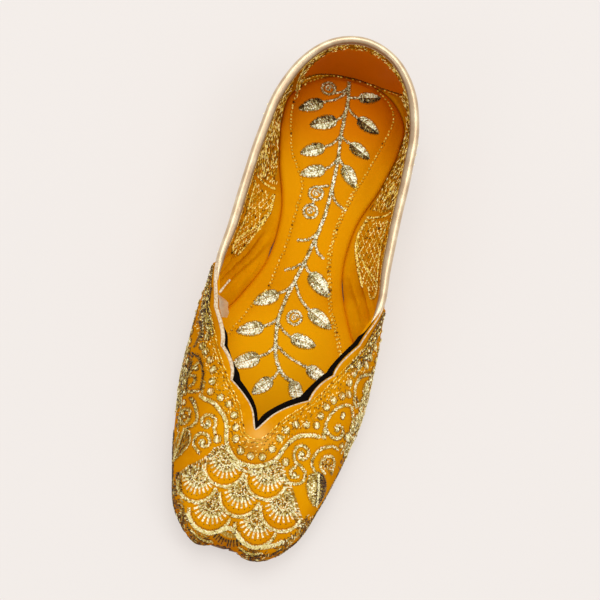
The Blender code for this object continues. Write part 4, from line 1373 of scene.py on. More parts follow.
vampMotifs = {
    # rows of scales, from the throat to the toe: (x, y, radius)
    "scales": [
        [(-12.5, -88.7, 9.2), (7, -89.4, 9.3)],
        [(-22.5, -98.3, 8.8), (-2.5, -99.4, 9.3), (17.5, -100.2, 9.8)],
        [(-13.5, -109, 9.6), (8.2, -110, 9.6)],
    ],
    # the heavy cord round the throat, and the line doubling it over the toe
    "throatCord": [
        (-31, -60.7), (-29, -62), (-26, -62.7), (-23.5, -64), (-21, -66), (-18.5, -68.5), (-16.5, -72),
        (-15.5, -76), (-14, -80), (-11, -83.5), (-8, -85.5), (-4.5, -86.3), (-1, -86.3), (3, -85),
        (7, -82.5), (9.5, -79.5), (10.5, -76.5), (12, -73), (14, -70), (16, -68), (19, -66.5), (23, -65.3),
        (25.5, -65),
    ],
    "underCord": [
        (-11.5, -85.6), (-9, -87.2), (-6, -88.4), (-2, -89), (1.5, -88.6), (4, -87.2), (6.5, -85.4),
    ],
    "toeCord": [
        (-23, -112.5), (-21, -115), (-18, -117.5), (-12.5, -118.6), (-8, -117), (-5, -115), (-3, -114.2),
        (0, -115.2), (4, -118), (8, -119.6), (12, -119.2), (15, -118), (19, -115.8), (22, -113.4),
    ],
    "dots": [
        (-7.5, -81.3), (-2.5, -82.3), (2.7, -81.3), (6, -76.8), (8, -71.5), (-11, -76.8), (-12.3, -72),
        (-14.5, -67), (-18, -62.5), (-22.5, -60.3), (-27.7, -58.3), (-28.2, -53.6), (-29.2, -48.5),
        (-31.8, -44.4), (-34.9, -40.8), (-37.1, -38.3), (-36, -34.3), (-36.5, -30), (-38.2, -26.7),
        (-39.3, -24.7), (-40.7, -20), (-41.3, -16.5), (10, -67.3), (13.5, -63.4), (18.3, -62.1),
        (22.9, -60.6), (23.6, -56.2), (25, -51.5), (27.5, -47.6), (31, -44.2), (33.9, -42), (32.8, -37.2),
        (33.5, -32.3), (34.8, -28.3), (38.7, -25.8), (39.5, -21.7), (40.6, -16),
    ],
    "loneDots": [(-19, -78.7), (13.5, -80.5), (39, -59.5)],
    "scrolls": [
        [(-20.4, -76.8), (-21.5, -74.5), (-21.4, -72.2), (-22.5, -70), (-24.5, -68.8), (-26.5, -69),
         (-28, -70.6), (-27.5, -73), (-25.5, -74.5), (-24, -73.6), (-24.3, -72), (-25.6, -71.7)],
        [(-25, -86), (-27, -84.6), (-28.7, -82.6), (-29, -80.2), (-28, -78.1), (-26, -77.3), (-23.6, -78),
         (-22, -80), (-22.3, -82.2), (-24, -82.9), (-25.7, -82.2), (-25.9, -80.8), (-24.9, -80.2)],
        [(18, -79.3), (16.8, -78), (16.1, -76), (16.4, -73.5), (17.5, -71.9), (19.5, -71.2), (22, -72.2),
         (22.8, -74), (22, -76), (20, -77), (18.6, -76.2), (18.8, -74.6), (20, -74)],
        [(18, -79.3), (20.5, -80), (23, -81.5), (24, -84), (23, -86.5), (20.5, -88), (17.5, -88.6),
         (14.5, -87.4)],
        [(18.5, -81), (17.1, -82.4), (16.8, -84.4), (18, -85.6), (19.8, -85.4), (21, -84.2)],
        [(36, -66.5), (33, -66.4), (30, -68), (27.5, -70), (25.8, -73), (25.2, -76), (26, -78.5), (28, -80)],
        [(35.8, -78), (36, -75), (35.6, -72), (33.5, -70.8), (30.8, -72.3), (29.4, -75), (30.4, -77.7),
         (32.8, -79.2)],
        [(37.5, -46.5), (35, -46.6), (33, -47.6), (30.5, -49.6), (28.5, -52.5), (27.5, -55.5), (27, -59),
         (28, -61.2), (30, -62.2), (32.5, -62.7), (35, -61.6), (36.1, -59.6), (35.7, -57.5), (34, -56.4),
         (32.4, -57.2), (32.1, -58.8), (33.4, -59.3)],
        [(37.3, -47), (38.6, -49.4), (39.6, -52), (40, -55), (39.2, -57.6)], [(27.2, -60.6), (27.6, -64.6)],
        [(42.4, -27.8), (40.2, -29.4), (37.9, -31.6), (36.5, -34.4), (36.2, -37.8), (36.9, -41), (37.6, -44),
         (38.9, -45.2)],
        [(38.8, -45.6), (40.6, -43), (41.8, -40)],
        [(-35.6, -62), (-34, -63.6), (-32.5, -66), (-31, -69), (-30.2, -71.5), (-30.6, -73.4), (-32, -75),
         (-34, -76)],
        [(-38.3, -68), (-37, -67), (-35, -67.5), (-34, -69.6), (-34.4, -72.6), (-36, -74), (-38, -72.4),
         (-38.6, -70), (-38.3, -68)],
        [(-38.6, -58.4), (-36.8, -59), (-35, -58.8), (-33.2, -58.4)],
        [(-38.8, -51.8), (-37, -51.8), (-36.1, -53.4), (-36.6, -55.6), (-38, -56.4)],
        [(-36.9, -45.8), (-38.6, -48), (-40.2, -52)],
    ],
    # narrow cords that lie in shade
    "darkCords": [
        [(-42.6, -26.2), (-41.2, -26.8), (-40.1, -29), (-39.6, -32), (-39.9, -35), (-41, -38.4)],
        [(-39.8, -42), (-38, -42.8), (-36.4, -44.4), (-34.6, -47.4), (-33.2, -51), (-32.6, -55),
         (-32.4, -58)],
        [(-40.1, -45), (-40.2, -50), (-39.8, -55), (-39, -58)],
        [(-36.4, -61.8), (-34, -64.1), (-31.6, -67.6)],
        [(-40.3, -12), (-40, -17), (-39.2, -22), (-37.6, -26.4), (-35.6, -31.4), (-35.2, -35.4)],
        [(43.6, -26.2), (41.4, -28.3), (39, -30.2), (37.4, -32)],
        [(38.2, -41.5), (40.2, -43.2), (42.6, -42.6)], [(32.6, -62.9), (35, -62), (36.3, -60)],
    ],
    "knobs": [
        (-25, -72.7), (-24.9, -81.2), (19.9, -74.8), (18.9, -84.4), (34, -52.6), (34, -51.4), (33.2, -58.4),
        (-37, -48.4), (-36.4, -70.6),
    ],
    # padded leaves: (base, tip, width, how bright each half is, how bright its swell is); the bright and dark
    # halves and the bright swell are painted light and shade
    "leaves": [
        ((29.2, -79.6), (32.4, -94.6), 10.6, (0.26, 0.68), 0.2),
        ((41.6, -38.5), (41.9, -31), 2.8, (0.7, 0.8), 0.2),
    ],
    # a half leaf on the left, outlined: its straight side first
    "halfLeaf": [
        (-34.8, -76.2), (-35.4, -83), (-35.9, -90.6), (-33.2, -87.6), (-31.2, -83.8), (-30.8, -80.8),
        (-31.8, -78), (-34.8, -76.2),
    ],
    "midribs": [[(29.4, -80.6), (30.8, -85), (31.8, -89.4), (32.5, -94)]],
    "petals": (32.8, -75, 2.5),  # a close disc of radiating threads: (x, y, radius)
    # close columns of threads: (path, width, darkest, brightest, share of dark threads)
    "columns": [
        ([(-31.4, -54), (-31, -57.5), (-31.6, -61.2)], 2, 0.4, 1, 0.2),
        ([(-41.4, -41), (-41.6, -50), (-41.2, -61)], 2.6, 0.2, 0.95, 0.4),
        ([(-41.6, -20.5), (-41.8, -24.6)], 2.4, 0.2, 0.85, 0.3),
        ([(-37.6, -37.2), (-36.6, -39.6)], 2.2, 0.4, 0.95, 0.2),
        ([(-38.8, -32), (-38.2, -35.6)], 1.6, 0.2, 0.8, 0.4),
        ([(-35.4, -40.8), (-34.4, -42.6)], 1.8, 0.4, 0.95, 0.2),
        ([(42.9, -41), (42.9, -46), (42.2, -51)], 3, 0.7, 1, 0.08),
        ([(41.4, -51), (40.6, -56)], 2.4, 0.3, 1, 0.3), ([(27.4, -60.4), (27.6, -64.8)], 2.2, 0.45, 1, 0.15),
        ([(42.6, -8), (43.4, -18), (43.8, -28), (43.5, -36)], 2.6, 0.35, 1, 0.2),
    ],
    "glints": [[(-36.9, -78), (-37, -83), (-36.2, -89)]],
    # solid bands: (path, width)
    "bands": [
        ([(-19.4, -87.2), (-23.4, -90.8), (-27.4, -94), (-31.8, -98.2)], 4),
        ([(13.5, -87), (18, -91.4), (20.6, -94.8), (23, -98.2), (28, -105)], 3.6),
    ],
    # the close ground along the edge of the vamp, its darker threads painting the shade where the vamp turns
    # down: (path, width, darkest, brightest, share of dark threads)
    "rims": [
        ([(43.2, -36), (43, -45), (42.2, -54), (41.3, -61)], 2.6, 0.35, 1, 0.3),
        ([(40.8, -62), (39.8, -70), (38.9, -77), (38, -83.5), (36.2, -91), (33.6, -98)], 1.1, 0.1, 0.8, 0.5),
        ([(31.2, -104), (28.8, -107.8), (26, -111.5), (23.4, -114.8)], 3.2, 0.4, 1, 0.25),
        ([(23.6, -117), (20.4, -120.2), (16.4, -122.8)], 3, 0.25, 0.95, 0.4),
        ([(15.6, -122.6), (10, -124), (4, -122.6)], 2.8, 0, 0.2, 0.95),
        ([(-44.1, -32), (-43.5, -44), (-42.7, -52), (-41.8, -59), (-40.9, -65)], 3, 0.15, 0.85, 0.4),
        ([(-40.2, -68), (-39.2, -75), (-38.6, -81), (-38, -86)], 1.4, 0.1, 0.7, 0.5),
        ([(-36.6, -88), (-35.2, -94)], 1.6, 0, 0.5, 0.6),
        ([(-33.2, -96.2), (-31.8, -100), (-29.6, -105.4)], 4, 0.1, 0.75, 0.4),
        ([(-29.2, -107.6), (-26.6, -112.5), (-23.2, -117)], 3.8, 0.3, 0.95, 0.35),
        ([(-22, -119), (-18, -121.7), (-13, -123.2)], 2.6, 0.2, 0.9, 0.35),
    ],
    "rimCords": [
        [(3.4, -121.2), (7, -122.4), (10.6, -122.4), (14, -121)],
        [(-19.6, -119.2), (-16.4, -121), (-12.6, -122.2), (-9, -121.8)],
    ],
    "scalesEnd": [(86, 15), (90.3, 18.5), (103.9, 28.5), (110, 40)],  # they reach this x: (towards the toe, x)
    "notch": (-2.4, -109.6),  # the middle of the pleat stitches that gather the toe: (x, y)
    # pale gathers, then dark strokes that paint the shade in the pleats, with thin pale ones between
    # (from, to, how many, near, far, darkest, brightest, width)
    "pleats": [
        (-40, 38, 17, 6.6, 8.9, 0.5, 0.8, 0.66), (-40, 38, 12, 9.2, 12.6, 0, 0.06, 0.8),
        (-36.5, 34.5, 11, 9.4, 12.4, 0.4, 0.6, 0.42),
    ],
    # thin chain lines follow the throat this far outside its cut edge: (distance, pitch)
    "chains": [(3.1, 1.35), (4.5, 1.5)],
    "grains": (5.6, 10.5),  # loose threads between these two distances fill in between the dots
}


def throatLine(offset):
    # the throat's cut edge in plan, moved outwards: right wing, tip, left wing
    first, tip = placeOfRow("wing") + 9, placeOfRow("throatTip")
    places = np.linspace(first, tip, 60)
    line = []
    for side, run in ((1, places), (-1, places[::-1][1:])):
        sides = np.full(len(run), side)
        top = inFrame(wallPoint(run, sides, rimShare(run)))
        smooth = inFrame(wallPoint(run, sides, np.ones(len(run))))
        line.append((top * 0.25 + smooth * 0.75)[:, :2])
    line = evened(np.vstack(line), 6)
    out = leftOf(unit(np.gradient(line, axis=0)))
    out = out if out[len(out) // 2, 1] < 0 else -out
    for _ in range(4):
        out[1:-1] = unit(out[:-2] + 2 * out[1:-1] + out[2:])
    around = np.exp(-(((line[:, 0] - line[len(line) // 2, 0]) / 9) ** 2))  # it swings wider round the point
    return line + out * (offset + 2.4 * around)[:, None]


def notchStitches(look):
    # strokes that fan across the pinch of the toe, each laid in two runs that lap a little
    middle = np.array(look["notch"])
    rows = []
    for first, final, count, near, far, low, high, wide in look["pleats"]:
        turn = np.radians(np.linspace(first, final, count))
        ray = np.column_stack([np.sin(turn), -np.cos(turn)])
        for start, end in ((near, (near + far) / 2 + 0.2), ((near + far) / 2 - 0.2, far)):
            tones = dice.uniform(low, high, count)
            rows.append(rowsOf(middle + ray * start, middle + ray * end, wide, tones, 0.1))
    return rows


def shaded(rows):
    # the left edge of the vamp and the turn of the toe lie in shade
    shade = 0.15 * smoothstep(-28, -42, rows[:, 0]) + 0.12 * smoothstep(-116, -124, rows[:, 1])
    rows[:, 5] = np.clip(rows[:, 5] - shade, 0, 1)
    return rows


def embroiderVamp(tree, sheet, zari):
    look = vampMotifs
    rows, above = [], []
    for line in look["scales"]:
        for x, y, radius in line:
            rows.append(fan((x, y), radius, above))
        above = above + [((x, y), radius) for x, y, radius in line]
    # nothing of a scale shows on the throat's side of the cord
    scales = np.concatenate(rows)
    middle = (scales[:, 0:2] + scales[:, 2:4]) / 2
    cord = smoothPath(look["throatCord"], 0.5)[0]
    over = cord[(cord[:, 0] > -16) & (cord[:, 0] < 11)]
    hidden = (middle[:, 1] > np.interp(middle[:, 0], over[:, 0],
                                       over[:, 1]) - 0.8) | (np.abs(middle[:, 0] + 2) > 19)
    beyond = middle[:, 0] > readTable(look["scalesEnd"], -middle[:, 1])
    scales = scales[(~hidden | (middle[:, 1] < -92)) & ~beyond]
    rims = [stripe(path, width, tones=tones, lift=0.15) for path, width, *tones in look["rims"]]
    bands = [stripe(path, width, tones=(0.4, 1, 0.15), lift=0.3) for path, width in look["bands"]]
    bands += [stripe(path, width, tones=tones, lift=0.25) for path, width, *tones in look["columns"]]
    bands += notchStitches(look)
    parts = [shadedByFacing(sew(shaded(group), sheet)) for group in (scales, np.concatenate(rims + bands))]
    layStitches("vamp_scales", tree, parts, zari["warm_gold_zari"])

    # (paths, width, pitch, thread, darkest, brightest, share of dark threads, lift)
    cords = [([look["throatCord"]], 1.9, 0.48, 0.62, 0.6, 1, 0.05, 0.5),
             ([look["underCord"]], 1.3, 0.5, 0.6, 0.7, 1, 0.14, 0.3),
             ([look["toeCord"]], 1.9, 0.48, 0.66, 0.8, 1, 0.03, 0.55),
             (look["scrolls"], 1.35, 0.5, 0.58, 0.5, 1, 0.08, 0.38),
             (look["glints"] + look["rimCords"], 0.9, 0.5, 0.55, 0.75, 1, 0, 0.3),
             (look["darkCords"], 1.1, 0.5, 0.52, 0.15, 0.7, 0.35, 0.3)]
    rows = [braid(path, *thread) for paths, *thread in cords for path in paths]
    rows += [satinDot(spot, 1.6) for spot in look["dots"]]
    rows += [satinDot(spot, 1.8) for spot in look["loneDots"]]
    rows += [satinDot(spot, 0.95, lift=0.4) for spot in look["knobs"]]
    rows += [satinLeaf(base, tip, width, bright, paintedGlint) for base, tip, width, bright, paintedGlint in look["leaves"]]
    rows += [braid(path, 1.1, 0.46, 0.6, 0.9, 1, 0, 1.1, holes=False) for path in look["midribs"]]
    leaf = look["halfLeaf"]
    rows.append(patch(leaf, 68, long=1.6, wide=0.5, gap=0.46, tones=(0.3, 0.8, 0.2), lift=0.3, turn=0.15))
    rows.append(braid(leaf[2:], 0.9, 0.5, 0.52, 0.55, 1, 0.05, 0.4, holes=False))
    rows.append(braid(leaf[:3], 1, 0.46, 0.56, 0.9, 1, 0, 0.5, holes=False))
    x, y, radius = look["petals"]
    rows.append(scatterFill((x - radius, y - radius), (x + radius, y + radius),
                            lambda p: np.hypot(p[:, 0] - x, p[:, 1] - y) < radius,
                            lambda p: np.arctan2(p[:, 1] - y, p[:, 0] - x) + 0.5, gap=0.62,
                            tones=(0.4, 1, 0.2)))
    layStitches("vamp_scrolls", tree, [shadedByFacing(sew(shaded(np.concatenate(rows)), sheet))],
                zari["warm_gold_zari"])

    rows = []
    for distance, pitch in look["chains"]:
        line = throatLine(distance)
        rows.append(dashes(line, pitch, 1.5, 0.6, jitter=0.12, low=0.6, high=0.95, skew=12, lift=0.38))
        rows.append(dashes(line, pitch * 1.5, 1, 0.46, offset=0.6, jitter=0.25, low=0.1, high=0.6, skew=-35))
    near, far = look["grains"]
    for distance in np.arange(near, far, 0.8):
        rows.append(dashes(throatLine(distance), 2, 1.1, 0.5, jitter=0.5, low=0.2,
                           skew=dice.uniform(-50, 50)))
    layStitches("vamp_chains", tree, [sew(rows, sheet)], zari["yellow_gold_zari"])


# Sides: a close ground of scales near the sole, with scrolls above, in (along, up from the sole)

sideMotifs = {
    "scaleRadius": 6.2, "scalePitch": 11.4,
    "quarterRows": (15.0, 9.6), "vampRows": (8.6,),  # how far up each row of scales stands
    "quarterCord": 21.5, "vampCord": 15.0,
    "frontHigh": [(236, 5), (244, 6), (250, 14), (281, 14), (286, 6)],  # how high the toe's front is covered
    "wingLoops": (152.0, 184.0),
    "vampFrom": 150.0, "vampTo": {1: 216.0, -1: 226.0}, "lowBandTo": 264.0, "quarterTo": 143.5,
    "beadPitch": 4.6,
    "vinePitch": 25.0, "vineHeight": 25.0, "vineSwing": 4.2,
}


def scaleRows(start, end, heights):
    look = sideMotifs
    rows, above = [], []
    for line, height in enumerate(heights):
        row = [((x, height), look["scaleRadius"])
               for x in np.arange(start + (line % 2) * look["scalePitch"] / 2, end, look["scalePitch"])]
        for centre, size in row:
            rows.append(fan(centre, size, above, rays=7, cord=1.2, gap=0.6))
        above = above + row
    rows.append(stripe([(start - 4, 2), (end + 4, 2)], 2.2, tones=(0.3, 0.9, 0.3)))
    return rows


def overToe(p):
    patchy = dice.random(len(p)) < 0.6 + 0.4 * np.sin(p[:, 0] * 0.5)
    return patchy & (p[:, 1] < readTable(sideMotifs["frontHigh"], p[:, 0]))


def ringPath(x, y, wide, high, points):
    ring = np.array([x, y]) + np.array([wide, high]) * wayOf(np.radians(np.linspace(0, 360, points)))
    ring[-1] = ring[0]
    return ring


def embroiderSides(tree, zari):
    look = sideMotifs
    for side, word in ((1, "right"), (-1, "left")):
        low, high = wallSheet(side, fromFoot=True), wallSheet(side)
        end = look["vampTo"][side]
        rows = scaleRows(look["vampFrom"] + 4, end - 4, look["vampRows"])
        rows.append(braid([(look["vampFrom"], look["vampCord"]), (end, look["vampCord"])], 1.3, 0.65))
        rows.append(stripe([(end - 1, 3), (look["lowBandTo"], 3)], 4.2, tones=(0.2, 0.9, 0.4)))
        rows.append(braid([(end - 1, 6.2), (look["lowBandTo"], 6.4)], 0.9, 0.6, low=0.1, high=0.9, dark=0.3))
        rows += [satinDot((step, look["vampCord"] + 2.6), 1.3)
                 for step in np.arange(look["vampFrom"] + 3, end, look["beadPitch"])]
        if side < 0:  # the left flank of the vamp is grounded up to its turn, in dark thread that paints its shade
            rows.append(scatterFill((end, 6), (250, 10.5), someOf(0.8), wavy(0.6, 0.6), gap=0.7,
                                    tones=(0, 0.7, 0.45), lift=0.12))
        # the front of the toe is covered closely in darker thread, painted shade
        rows.append(scatterFill((look["frontHigh"][0][0], 2), (placeOfRow("toeCentre") - 0.5, 14), overToe,
                                wavy(0.5, 0.7), gap=0.62, tones=(0, 0.9, 0.5), lift=0.15))
        # loops and cords on the wing that laps over the binding
        a, b = look["wingLoops"]
        wing = [braid([(a - 3, 13), (b, 12)], 1.2, 0.5, low=0.2, dark=0.3),
                braid([(a - 3, 3.6), (a + 8, 4.2), (b, 5.4)], 1, 0.5, low=0.1, dark=0.4)]
        for number, x in enumerate(np.arange(a, b, 6.4)):
            ring = ringPath(x, 8.6, 2.6, 2.4, 13)
            wing.append(braid(ring, 0.9, 0.5, low=0, high=0.6, dark=0.3, holes=False))
            wing += [satinDot((x, 8.6), 1), satinDot((x + 3.2, 10.6 if number % 2 else 6.6), 0.9)]
        wing = sew(wing, high)
        layStitches("vamp_side_embroidery_" + word, tree, [shadedByFacing(sew(rows, low)), shadedByFacing(wing)],
                    zari["warm_gold_zari"])

        rows = scaleRows(2, look["quarterTo"] - 4, look["quarterRows"])
        rows.append(braid([(1, look["quarterCord"]), (look["quarterTo"], look["quarterCord"])], 1.3, 0.65))
        parts = [sew(rows, low)]
        # a vine with leaves below the binding, seen only from the side
        x = np.arange(3.0, look["quarterTo"] - 2, 1.0)
        vine = np.column_stack([x, 15 + look["vineSwing"] * np.sin(math.tau * x / look["vinePitch"])])
        rows = [braid(vine, 1.3, 0.65)]
        for number, at in enumerate(np.arange(6.0, look["quarterTo"] - 6, look["vinePitch"] / 2)):
            sign = 1 if number % 2 else -1
            y = 15 + look["vineSwing"] * math.sin(math.tau * at / look["vinePitch"])
            rows.append(satinLeaf((at, y), (at + 8.5, y - sign * 5), 5, holes=False))
            rows.append(satinDot((at + 1, y + sign * 5.2), 1.5))
        for drop, step in ((4.4, 1.8), (6.2, 1.8)):
            rows.append(dashes([(0.5, drop), (look["quarterTo"], drop)], step, 1.4, 0.45, skew=12))
        rows += [satinDot((x, 8.6), 1.3) for x in np.arange(3.0, look["quarterTo"], look["beadPitch"])]
        parts.append(sew(rows, high))
        layStitches("quarter_embroidery_" + word, tree, parts, zari["warm_gold_zari"])


# Lining: strokes towards the heel, a crossing line, then a leaf-shaped panel, in (along, down from the rim)

liningMotifs = {
    1: {
        "cross": [(91, 17), (92, 25), (93.5, 34)],
        "panelTop": [(96, 17), (104, 18), (116, 18.5), (128, 18.4), (135, 19.6), (139, 25)],
        "panelFoot": [(95, 33.5), (103, 35.4), (110, 35.6), (120, 33.4), (130, 31), (139, 27)],
        "vein": [(107, 36), (113, 33), (118, 30), (124, 25.5), (131, 19.4)],
        "brightStrokes": [([(72, 27.5), (77, 28), (82, 29)], 1.6), ([(50, 24.5), (53, 26), (56, 28)], 1.6)],
    },
    -1: {
        "cross": [(90, 17), (91, 25), (92, 34)],
        "panelTop": [(94, 16.4), (104, 17), (116, 17.4), (126, 17.2), (132, 18.6), (136, 23)],
        "panelFoot": [(95, 33.4), (103, 33.4), (110, 32), (118, 30.2), (127, 28.4), (134, 27.6)],
        "vein": [(105, 34), (111, 30.6), (117, 26.6), (124, 22), (131, 18.2)],
        "brightStrokes": [([(70, 23.4), (79, 23.6), (88, 24)], 1.4), ([(52, 21), (60, 24), (68, 28)], 1.4)],
    },
    "strokes": (36, 89), "strokeDrops": (9, 35), "rim": 5.2,
    "heelBand": (2.6, 10.6),  # loose threads under the binding at the back
    "gripStitch": [
        (-29, 33), (-24, 34.6), (-19, 35.6), (-12, 37.2), (-4, 38.2), (4, 38.2), (10, 37.4), (16, 35.4),
        (22, 31), (28, 24),
    ],
}


def insidePanel(side, p):
    top, foot = (readTable(liningMotifs[side][key], p[:, 0]) for key in ("panelTop", "panelFoot"))
    return (p[:, 1] > top + 0.6) & (p[:, 1] < foot - 0.6) & (p[:, 0] > 94) & (p[:, 0] < 136)


def embroiderLining(tree, zari):
    parts = []
    for side in (1, -1):
        sheet, motif = wallSheet(side, inner=True), liningMotifs[side]
        rows = [braid(motif[key], 1.3, 0.6, 0.56, 0.6, holes=False) for key in ("cross", "vein")]
        rows += [braid(motif[key], 1.6, 0.6, 0.58, 0.55, 1, 0.1, 0.3) for key in ("panelTop", "panelFoot")]
        # crosshatching in the panel: two sets of broken lines
        for slope, step in ((-0.62, 3.3), (0.5, 3.6)):
            for start in np.arange(70, 175, step / abs(slope) * 0.9):
                x = np.linspace(start, start + 44, 24)
                line = np.column_stack([x, 26 + slope * (x - start - 22)])
                line = line[insidePanel(side, line)]
                if len(line) > 2:
                    rows.append(dashes(line, 1.7, 1.6, 0.64, jitter=0.06, low=0.55, lift=0.35))
        rows.append(scatterFill((94, 15), (137, 37),
                                lambda p: insidePanel(side, p) & (dice.random(len(p)) < 0.07),
                                lambda p: np.full(len(p), 0.7), long=1.1, tones=(0.2, 1.0, 0.3)))
        a, b = liningMotifs["strokes"]
        shallow, deep = liningMotifs["strokeDrops"]

        def dense(p):
            wave = np.sin(p[:, 0] * 0.42) + np.sin(p[:, 1] * 0.9 + p[:, 0] * 0.2)
            return (dice.random(len(p)) < 0.88 + 0.14 * wave) & (p[:, 0] > a) & (p[:, 0] < b)

        rows.append(scatterFill((a, shallow), (b, deep), dense,
                                lambda p: 0.5 * np.sin(p[:, 0] * 0.13 + p[:, 1] * 0.2),
                                long=2, gap=0.8, tones=(0.3, 1, 0.3), lift=0.3))
        for path, tall in motif["brightStrokes"]:
            rows.append(braid(path, tall, 0.7, 0.6, 0.75, 1, holes=False))
        rim = liningMotifs["rim"]
        # two seams hold the turned-in side of the binding; they ride up over its padding
        for drop, darkest in ((2.7, 0.75), (rim - 0.9, 0.5)):
            seam = dashes([(24, drop), (143, drop)], 1.35, 1.5, 0.55, jitter=0.05, low=darkest)
            padded = smoothstep(15, 50, seam[:, 0]) * (1 - 0.9 * smoothstep(120, 145, seam[:, 0]))
            seam[:, 6] = (0.85 + 0.9 * padded) if drop < 3 else 0.35
            rows.append(seam)
        rows.append(scatterFill((20, rim + 0.8), (b, shallow), someOf(0.75), wavy(0.3, 0.5), long=1.8,
                                gap=0.8, tones=(0.3, 1, 0.3)))
        rows.append(scatterFill((b, rim + 2.2), (136, 17), someOf(0.3), wavy(0.4, 0.4, 0.2), long=1.6,
                                gap=0.9, tones=(0.2, 0.8, 0.35)))
        parts.append(sew(rows, sheet))
    heel = wallSheet(1, inner=True)
    near, far = liningMotifs["heelBand"]


    def aboveGrip(p, margin):
        return p[:, 1] < gripEdge("upper", np.clip(p[:, 0], -29, 29)) + margin

    rows = [scatterFill((-20, near), (30, far),
                        lambda p: (p[:, 1] > near) & aboveGrip(p, 1) & (p[:, 0] < 30) & someOf(0.75)(p),
                        lambda p: 0.9 * np.sin(p[:, 0] * 1.7 + p[:, 1] * 1.3),
                        long=1.5, gap=0.7, tones=(0.3, 1, 0.25), lift=0.6),
            scatterFill((-40, near), (-18, 36),
                        lambda p: someOf(0.8)(p) & (aboveGrip(p, 0.5) | (p[:, 0] < -29)),
                        lambda p: 0.25 * np.sin(p[:, 1]) + 0.2, long=2, gap=0.8, tones=(0.25, 1, 0.35),
                        lift=0.3),
            scatterFill((29, near), (40, 30), someOf(0.7), lambda p: 0.25 * np.sin(p[:, 1]),
                        long=2, gap=0.8, tones=(0.3, 1, 0.3), lift=0.3)]
    # the grip's sewn edge: bright beads over a dark thread that paints the shadow under the patch's edge
    edge = liningMotifs["gripStitch"]
    rows.append(dashes(edge, 1.2, 1.3, 0.9, jitter=0.1, low=0, high=0.12, lift=0.7))
    rows.append(dashes(edge, 2, 1.2, 1, offset=0.9, jitter=0.25, low=0.6, high=0.95, lift=0.9))
    parts.append(sew(rows, heel))
    layStitches("lining_embroidery", tree, parts, zari["yellow_gold_zari"])


# Insole: a vine with satin leaves, and the rows that hold the sheet down (plan)

vineMotifs = {
    "stem": [
        (-3, 118.4), (-1.2, 109), (-0.5, 98), (0.2, 87), (1.8, 74), (2.4, 60.6), (2.6, 50), (1.9, 40),
        (0.1, 28), (-1.7, 18), (-3.9, 8.4), (-5.6, -1.4), (-6.3, -11.4), (-4.6, -21.5), (-2.4, -29),
        (2.2, -35.5), (8.3, -38.6),
    ],
    # tip, base, where its stalk leaves the stem, how bright each half is (painted light and shade on the leaf's
    # two slopes)
    "leaves": [
        ((-24.1, 97.1), (-12.9, 104.1), (-2.4, 113), (0.75, 0.45)),
        ((-16.7, 89.6), (-4, 96.6), (-0.7, 102.5), (0.8, 0.45)),
        ((-17.5, 74.1), (-6.4, 80.6), (-0.1, 88.5), (0.8, 0.5)),
        ((-14.8, 63.4), (-3.3, 69.2), (1.4, 76.5), (0.82, 0.62)),
        ((-20.2, -5.4), (-9.4, 2.6), (-3.8, 8.6), (0.78, 0.6)),
        ((-24.4, -21.4), (-12.2, -15.3), (-6.3, -9), (0.82, 0.62)),
        ((-22.4, -38.3), (-10.2, -30.3), (-4.2, -23), (0.82, 0.66)),
        ((-9.2, -49), (-1.8, -39.4), (0.6, -33.6), (0.8, 0.7)),
        ((14.6, 115), (3.8, 111.2), (-1.4, 109.8), (0.85, 0.3)),
        ((18.3, 95.3), (6, 100.5), (-0.9, 106), (0.85, 0.22)),
        ((16.9, 81), (5.6, 86), (0.1, 88.8), (0.85, 0.28)), ((13.8, 64), (5.2, 73.7), (1.5, 78), (0.8, 0.5)),
        ((15.1, 7.4), (2.7, 16.2), (-1.2, 21), (0.8, 0.55)),
        ((19.9, -7.6), (7.1, -1.6), (-3.4, 10.5), (0.82, 0.6)),
        ((14.9, -18.3), (1.8, -16.9), (-6, -11.6), (0.84, 0.62)),
        ((24.2, -33.4), (13, -29.4), (-4.4, -22.5), (0.8, 0.6)),
        ((14.2, -48.5), (8.3, -37.6), (6, -37.4), (0.8, 0.66)),
    ],
    "leafWidth": 0.54,  # of its length
    # painted shade: how much darker the vine's threads are towards the heel
    "heelShade": 0.22,
    "rings": [(-12.2, 112.2), (-4.6, 55.6), (-4.9, 45.9), (1.1, -7.1)],
    "tendrils": [
        [(2.5, 60), (5, 55), (8.6, 52.4), (12, 51.5)], [(1.6, 36.5), (-2.4, 32), (-7.4, 30.2)],
        [(1.2, 32.5), (3.4, 27.4), (7.4, 24.9)], [(-1.7, 20.5), (-5, 17), (-9.4, 14.6)],
        [(-8.2, 110.6), (-4.6, 112.6), (-2.6, 115.4)], [(-4.6, 58.8), (0.6, 61.2)],
        [(-4.6, 49), (-4.8, 52.2)],
    ],
}


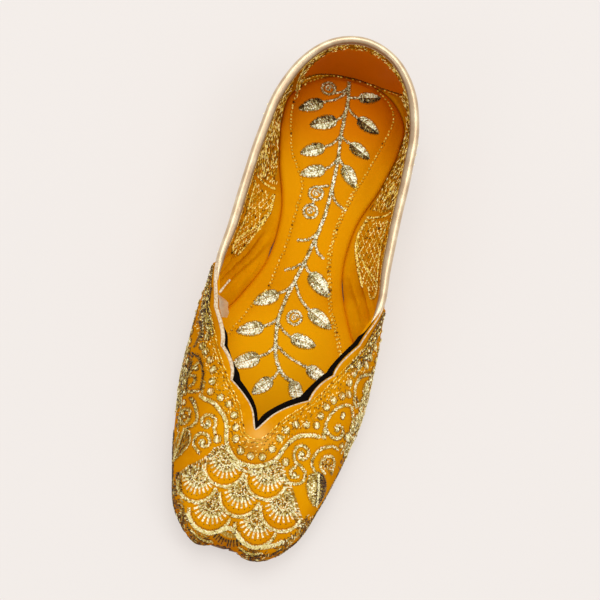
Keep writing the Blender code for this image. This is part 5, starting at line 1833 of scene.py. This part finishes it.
def embroiderInsole(tree, sheet, zari):
    look = vineMotifs
    rows = [braid(look["stem"], 1.7, 0.48, 0.56, 0.42, 1, 0.1, 0.3)]
    for tip, base, join, bright in look["leaves"]:
        long = math.dist(tip, base)
        rows.append(satinLeaf(base, tip, long * look["leafWidth"], bright))
        bend = (join[0] * 0.55 + base[0] * 0.45, base[1] * 0.62 + join[1] * 0.38)
        rows.append(braid([join, bend, base], 1.2, 0.5, 0.52, 0.42, 1, 0.1, 0.28))
    for x, y in look["rings"]:
        rows.append(braid(ringPath(x, y, 3.3, 3.3, 15), 1.25, 0.48, 0.54, 0.45, 1, 0.1, 0.3))
        size = np.linspace(1.9, 0.25, 15)[:, None]
        spiral = np.array([x, y]) + size * wayOf(np.radians(np.linspace(20, 460, 15)))
        rows.append(braid(spiral, 1, 0.45, 0.5, 0.55, 1, 0.1, 0.32, holes=False))
    rows += [braid(path, 1.15, 0.5, 0.52, 0.42, 1, 0.1, 0.28) for path in look["tendrils"]]
    vine = sew(rows, sheet)  # painted shade: its threads are darkened towards the heel
    dull = look["heelShade"] * smoothstep(66, 104, vine[:, 1]) * dice.uniform(0, 1.4, len(vine))
    vine[:, 10] = np.clip(vine[:, 10] - dull, 0, 1)
    layStitches("insole_vine", tree, [vine], zari["pale_gold_zari"])
    rows = []
    for key in ("rowRight", "rowLeft"):
        rows.append(dashes(insoleLook[key], 1.9, 1.25, 1, jitter=0.18, low=0.66, high=0.9, skew=14, lift=0.5))
        # a dark row beside each is a painted shadow of the stitches
        rows.append(dashes(insoleLook[key], 1.9, 0.7, 0.4, offset=0.7, jitter=0.15, low=0.1, high=0.35,
                           lift=0.05))
    # along the arch the outer row was sewn twice
    twice = [point for point in insoleLook["rowRight"] if -34 < point[1] < 72]
    rows.append(dashes(twice, 2, 1.8, 1, offset=-1, jitter=0.15, low=0.7, high=0.9, skew=-38, lift=0.5))
    layStitches("sock_stitching", tree, [sew(rows, sheet)], zari["yellow_gold_zari"])


# Making

aimCamera()
hangLights()
layFloor(mattePaper())
print("studio set")

vampLeather = leather("mustard_goat_leather")
sockLeather = leather("pressed_sock_leather")
foil, hide = champagneFoil(), stackedLeather()
felt, raw = fibrous("black_stiffener_felt"), fibrous("raw_cut_edge")
zari = {name: goldThread(name) for name in threads}

upperPiece = dress(buildUpper(vampLeather), "upper_leather", "upper")
insolePiece = dress(buildInsole(sockLeather), "insole_leather", "insole")
dress(buildBinding(foil), "metallic_binding", "collar_binding")
dress(buildBindingTab(foil), "metallic_binding")
dress(buildLooseEnd(raw), "metallic_binding")
dress(buildBacking(felt), "black_backing")
dress(buildCutEdge(raw), "upper_leather")
dress(buildGrip(sockLeather), "insole_leather")
dress(buildSole(hide), "sole_leather", "outsole")
dress(buildLift(hide), "sole_leather", "heel_lift")
print("shoe built")

needle = stitchTree()
embroiderVamp(needle, droppedSheet(upperPiece), zari)
embroiderSides(needle, zari)
embroiderLining(needle, zari)
embroiderInsole(needle, droppedSheet(insolePiece), zari)
print("embroidered")
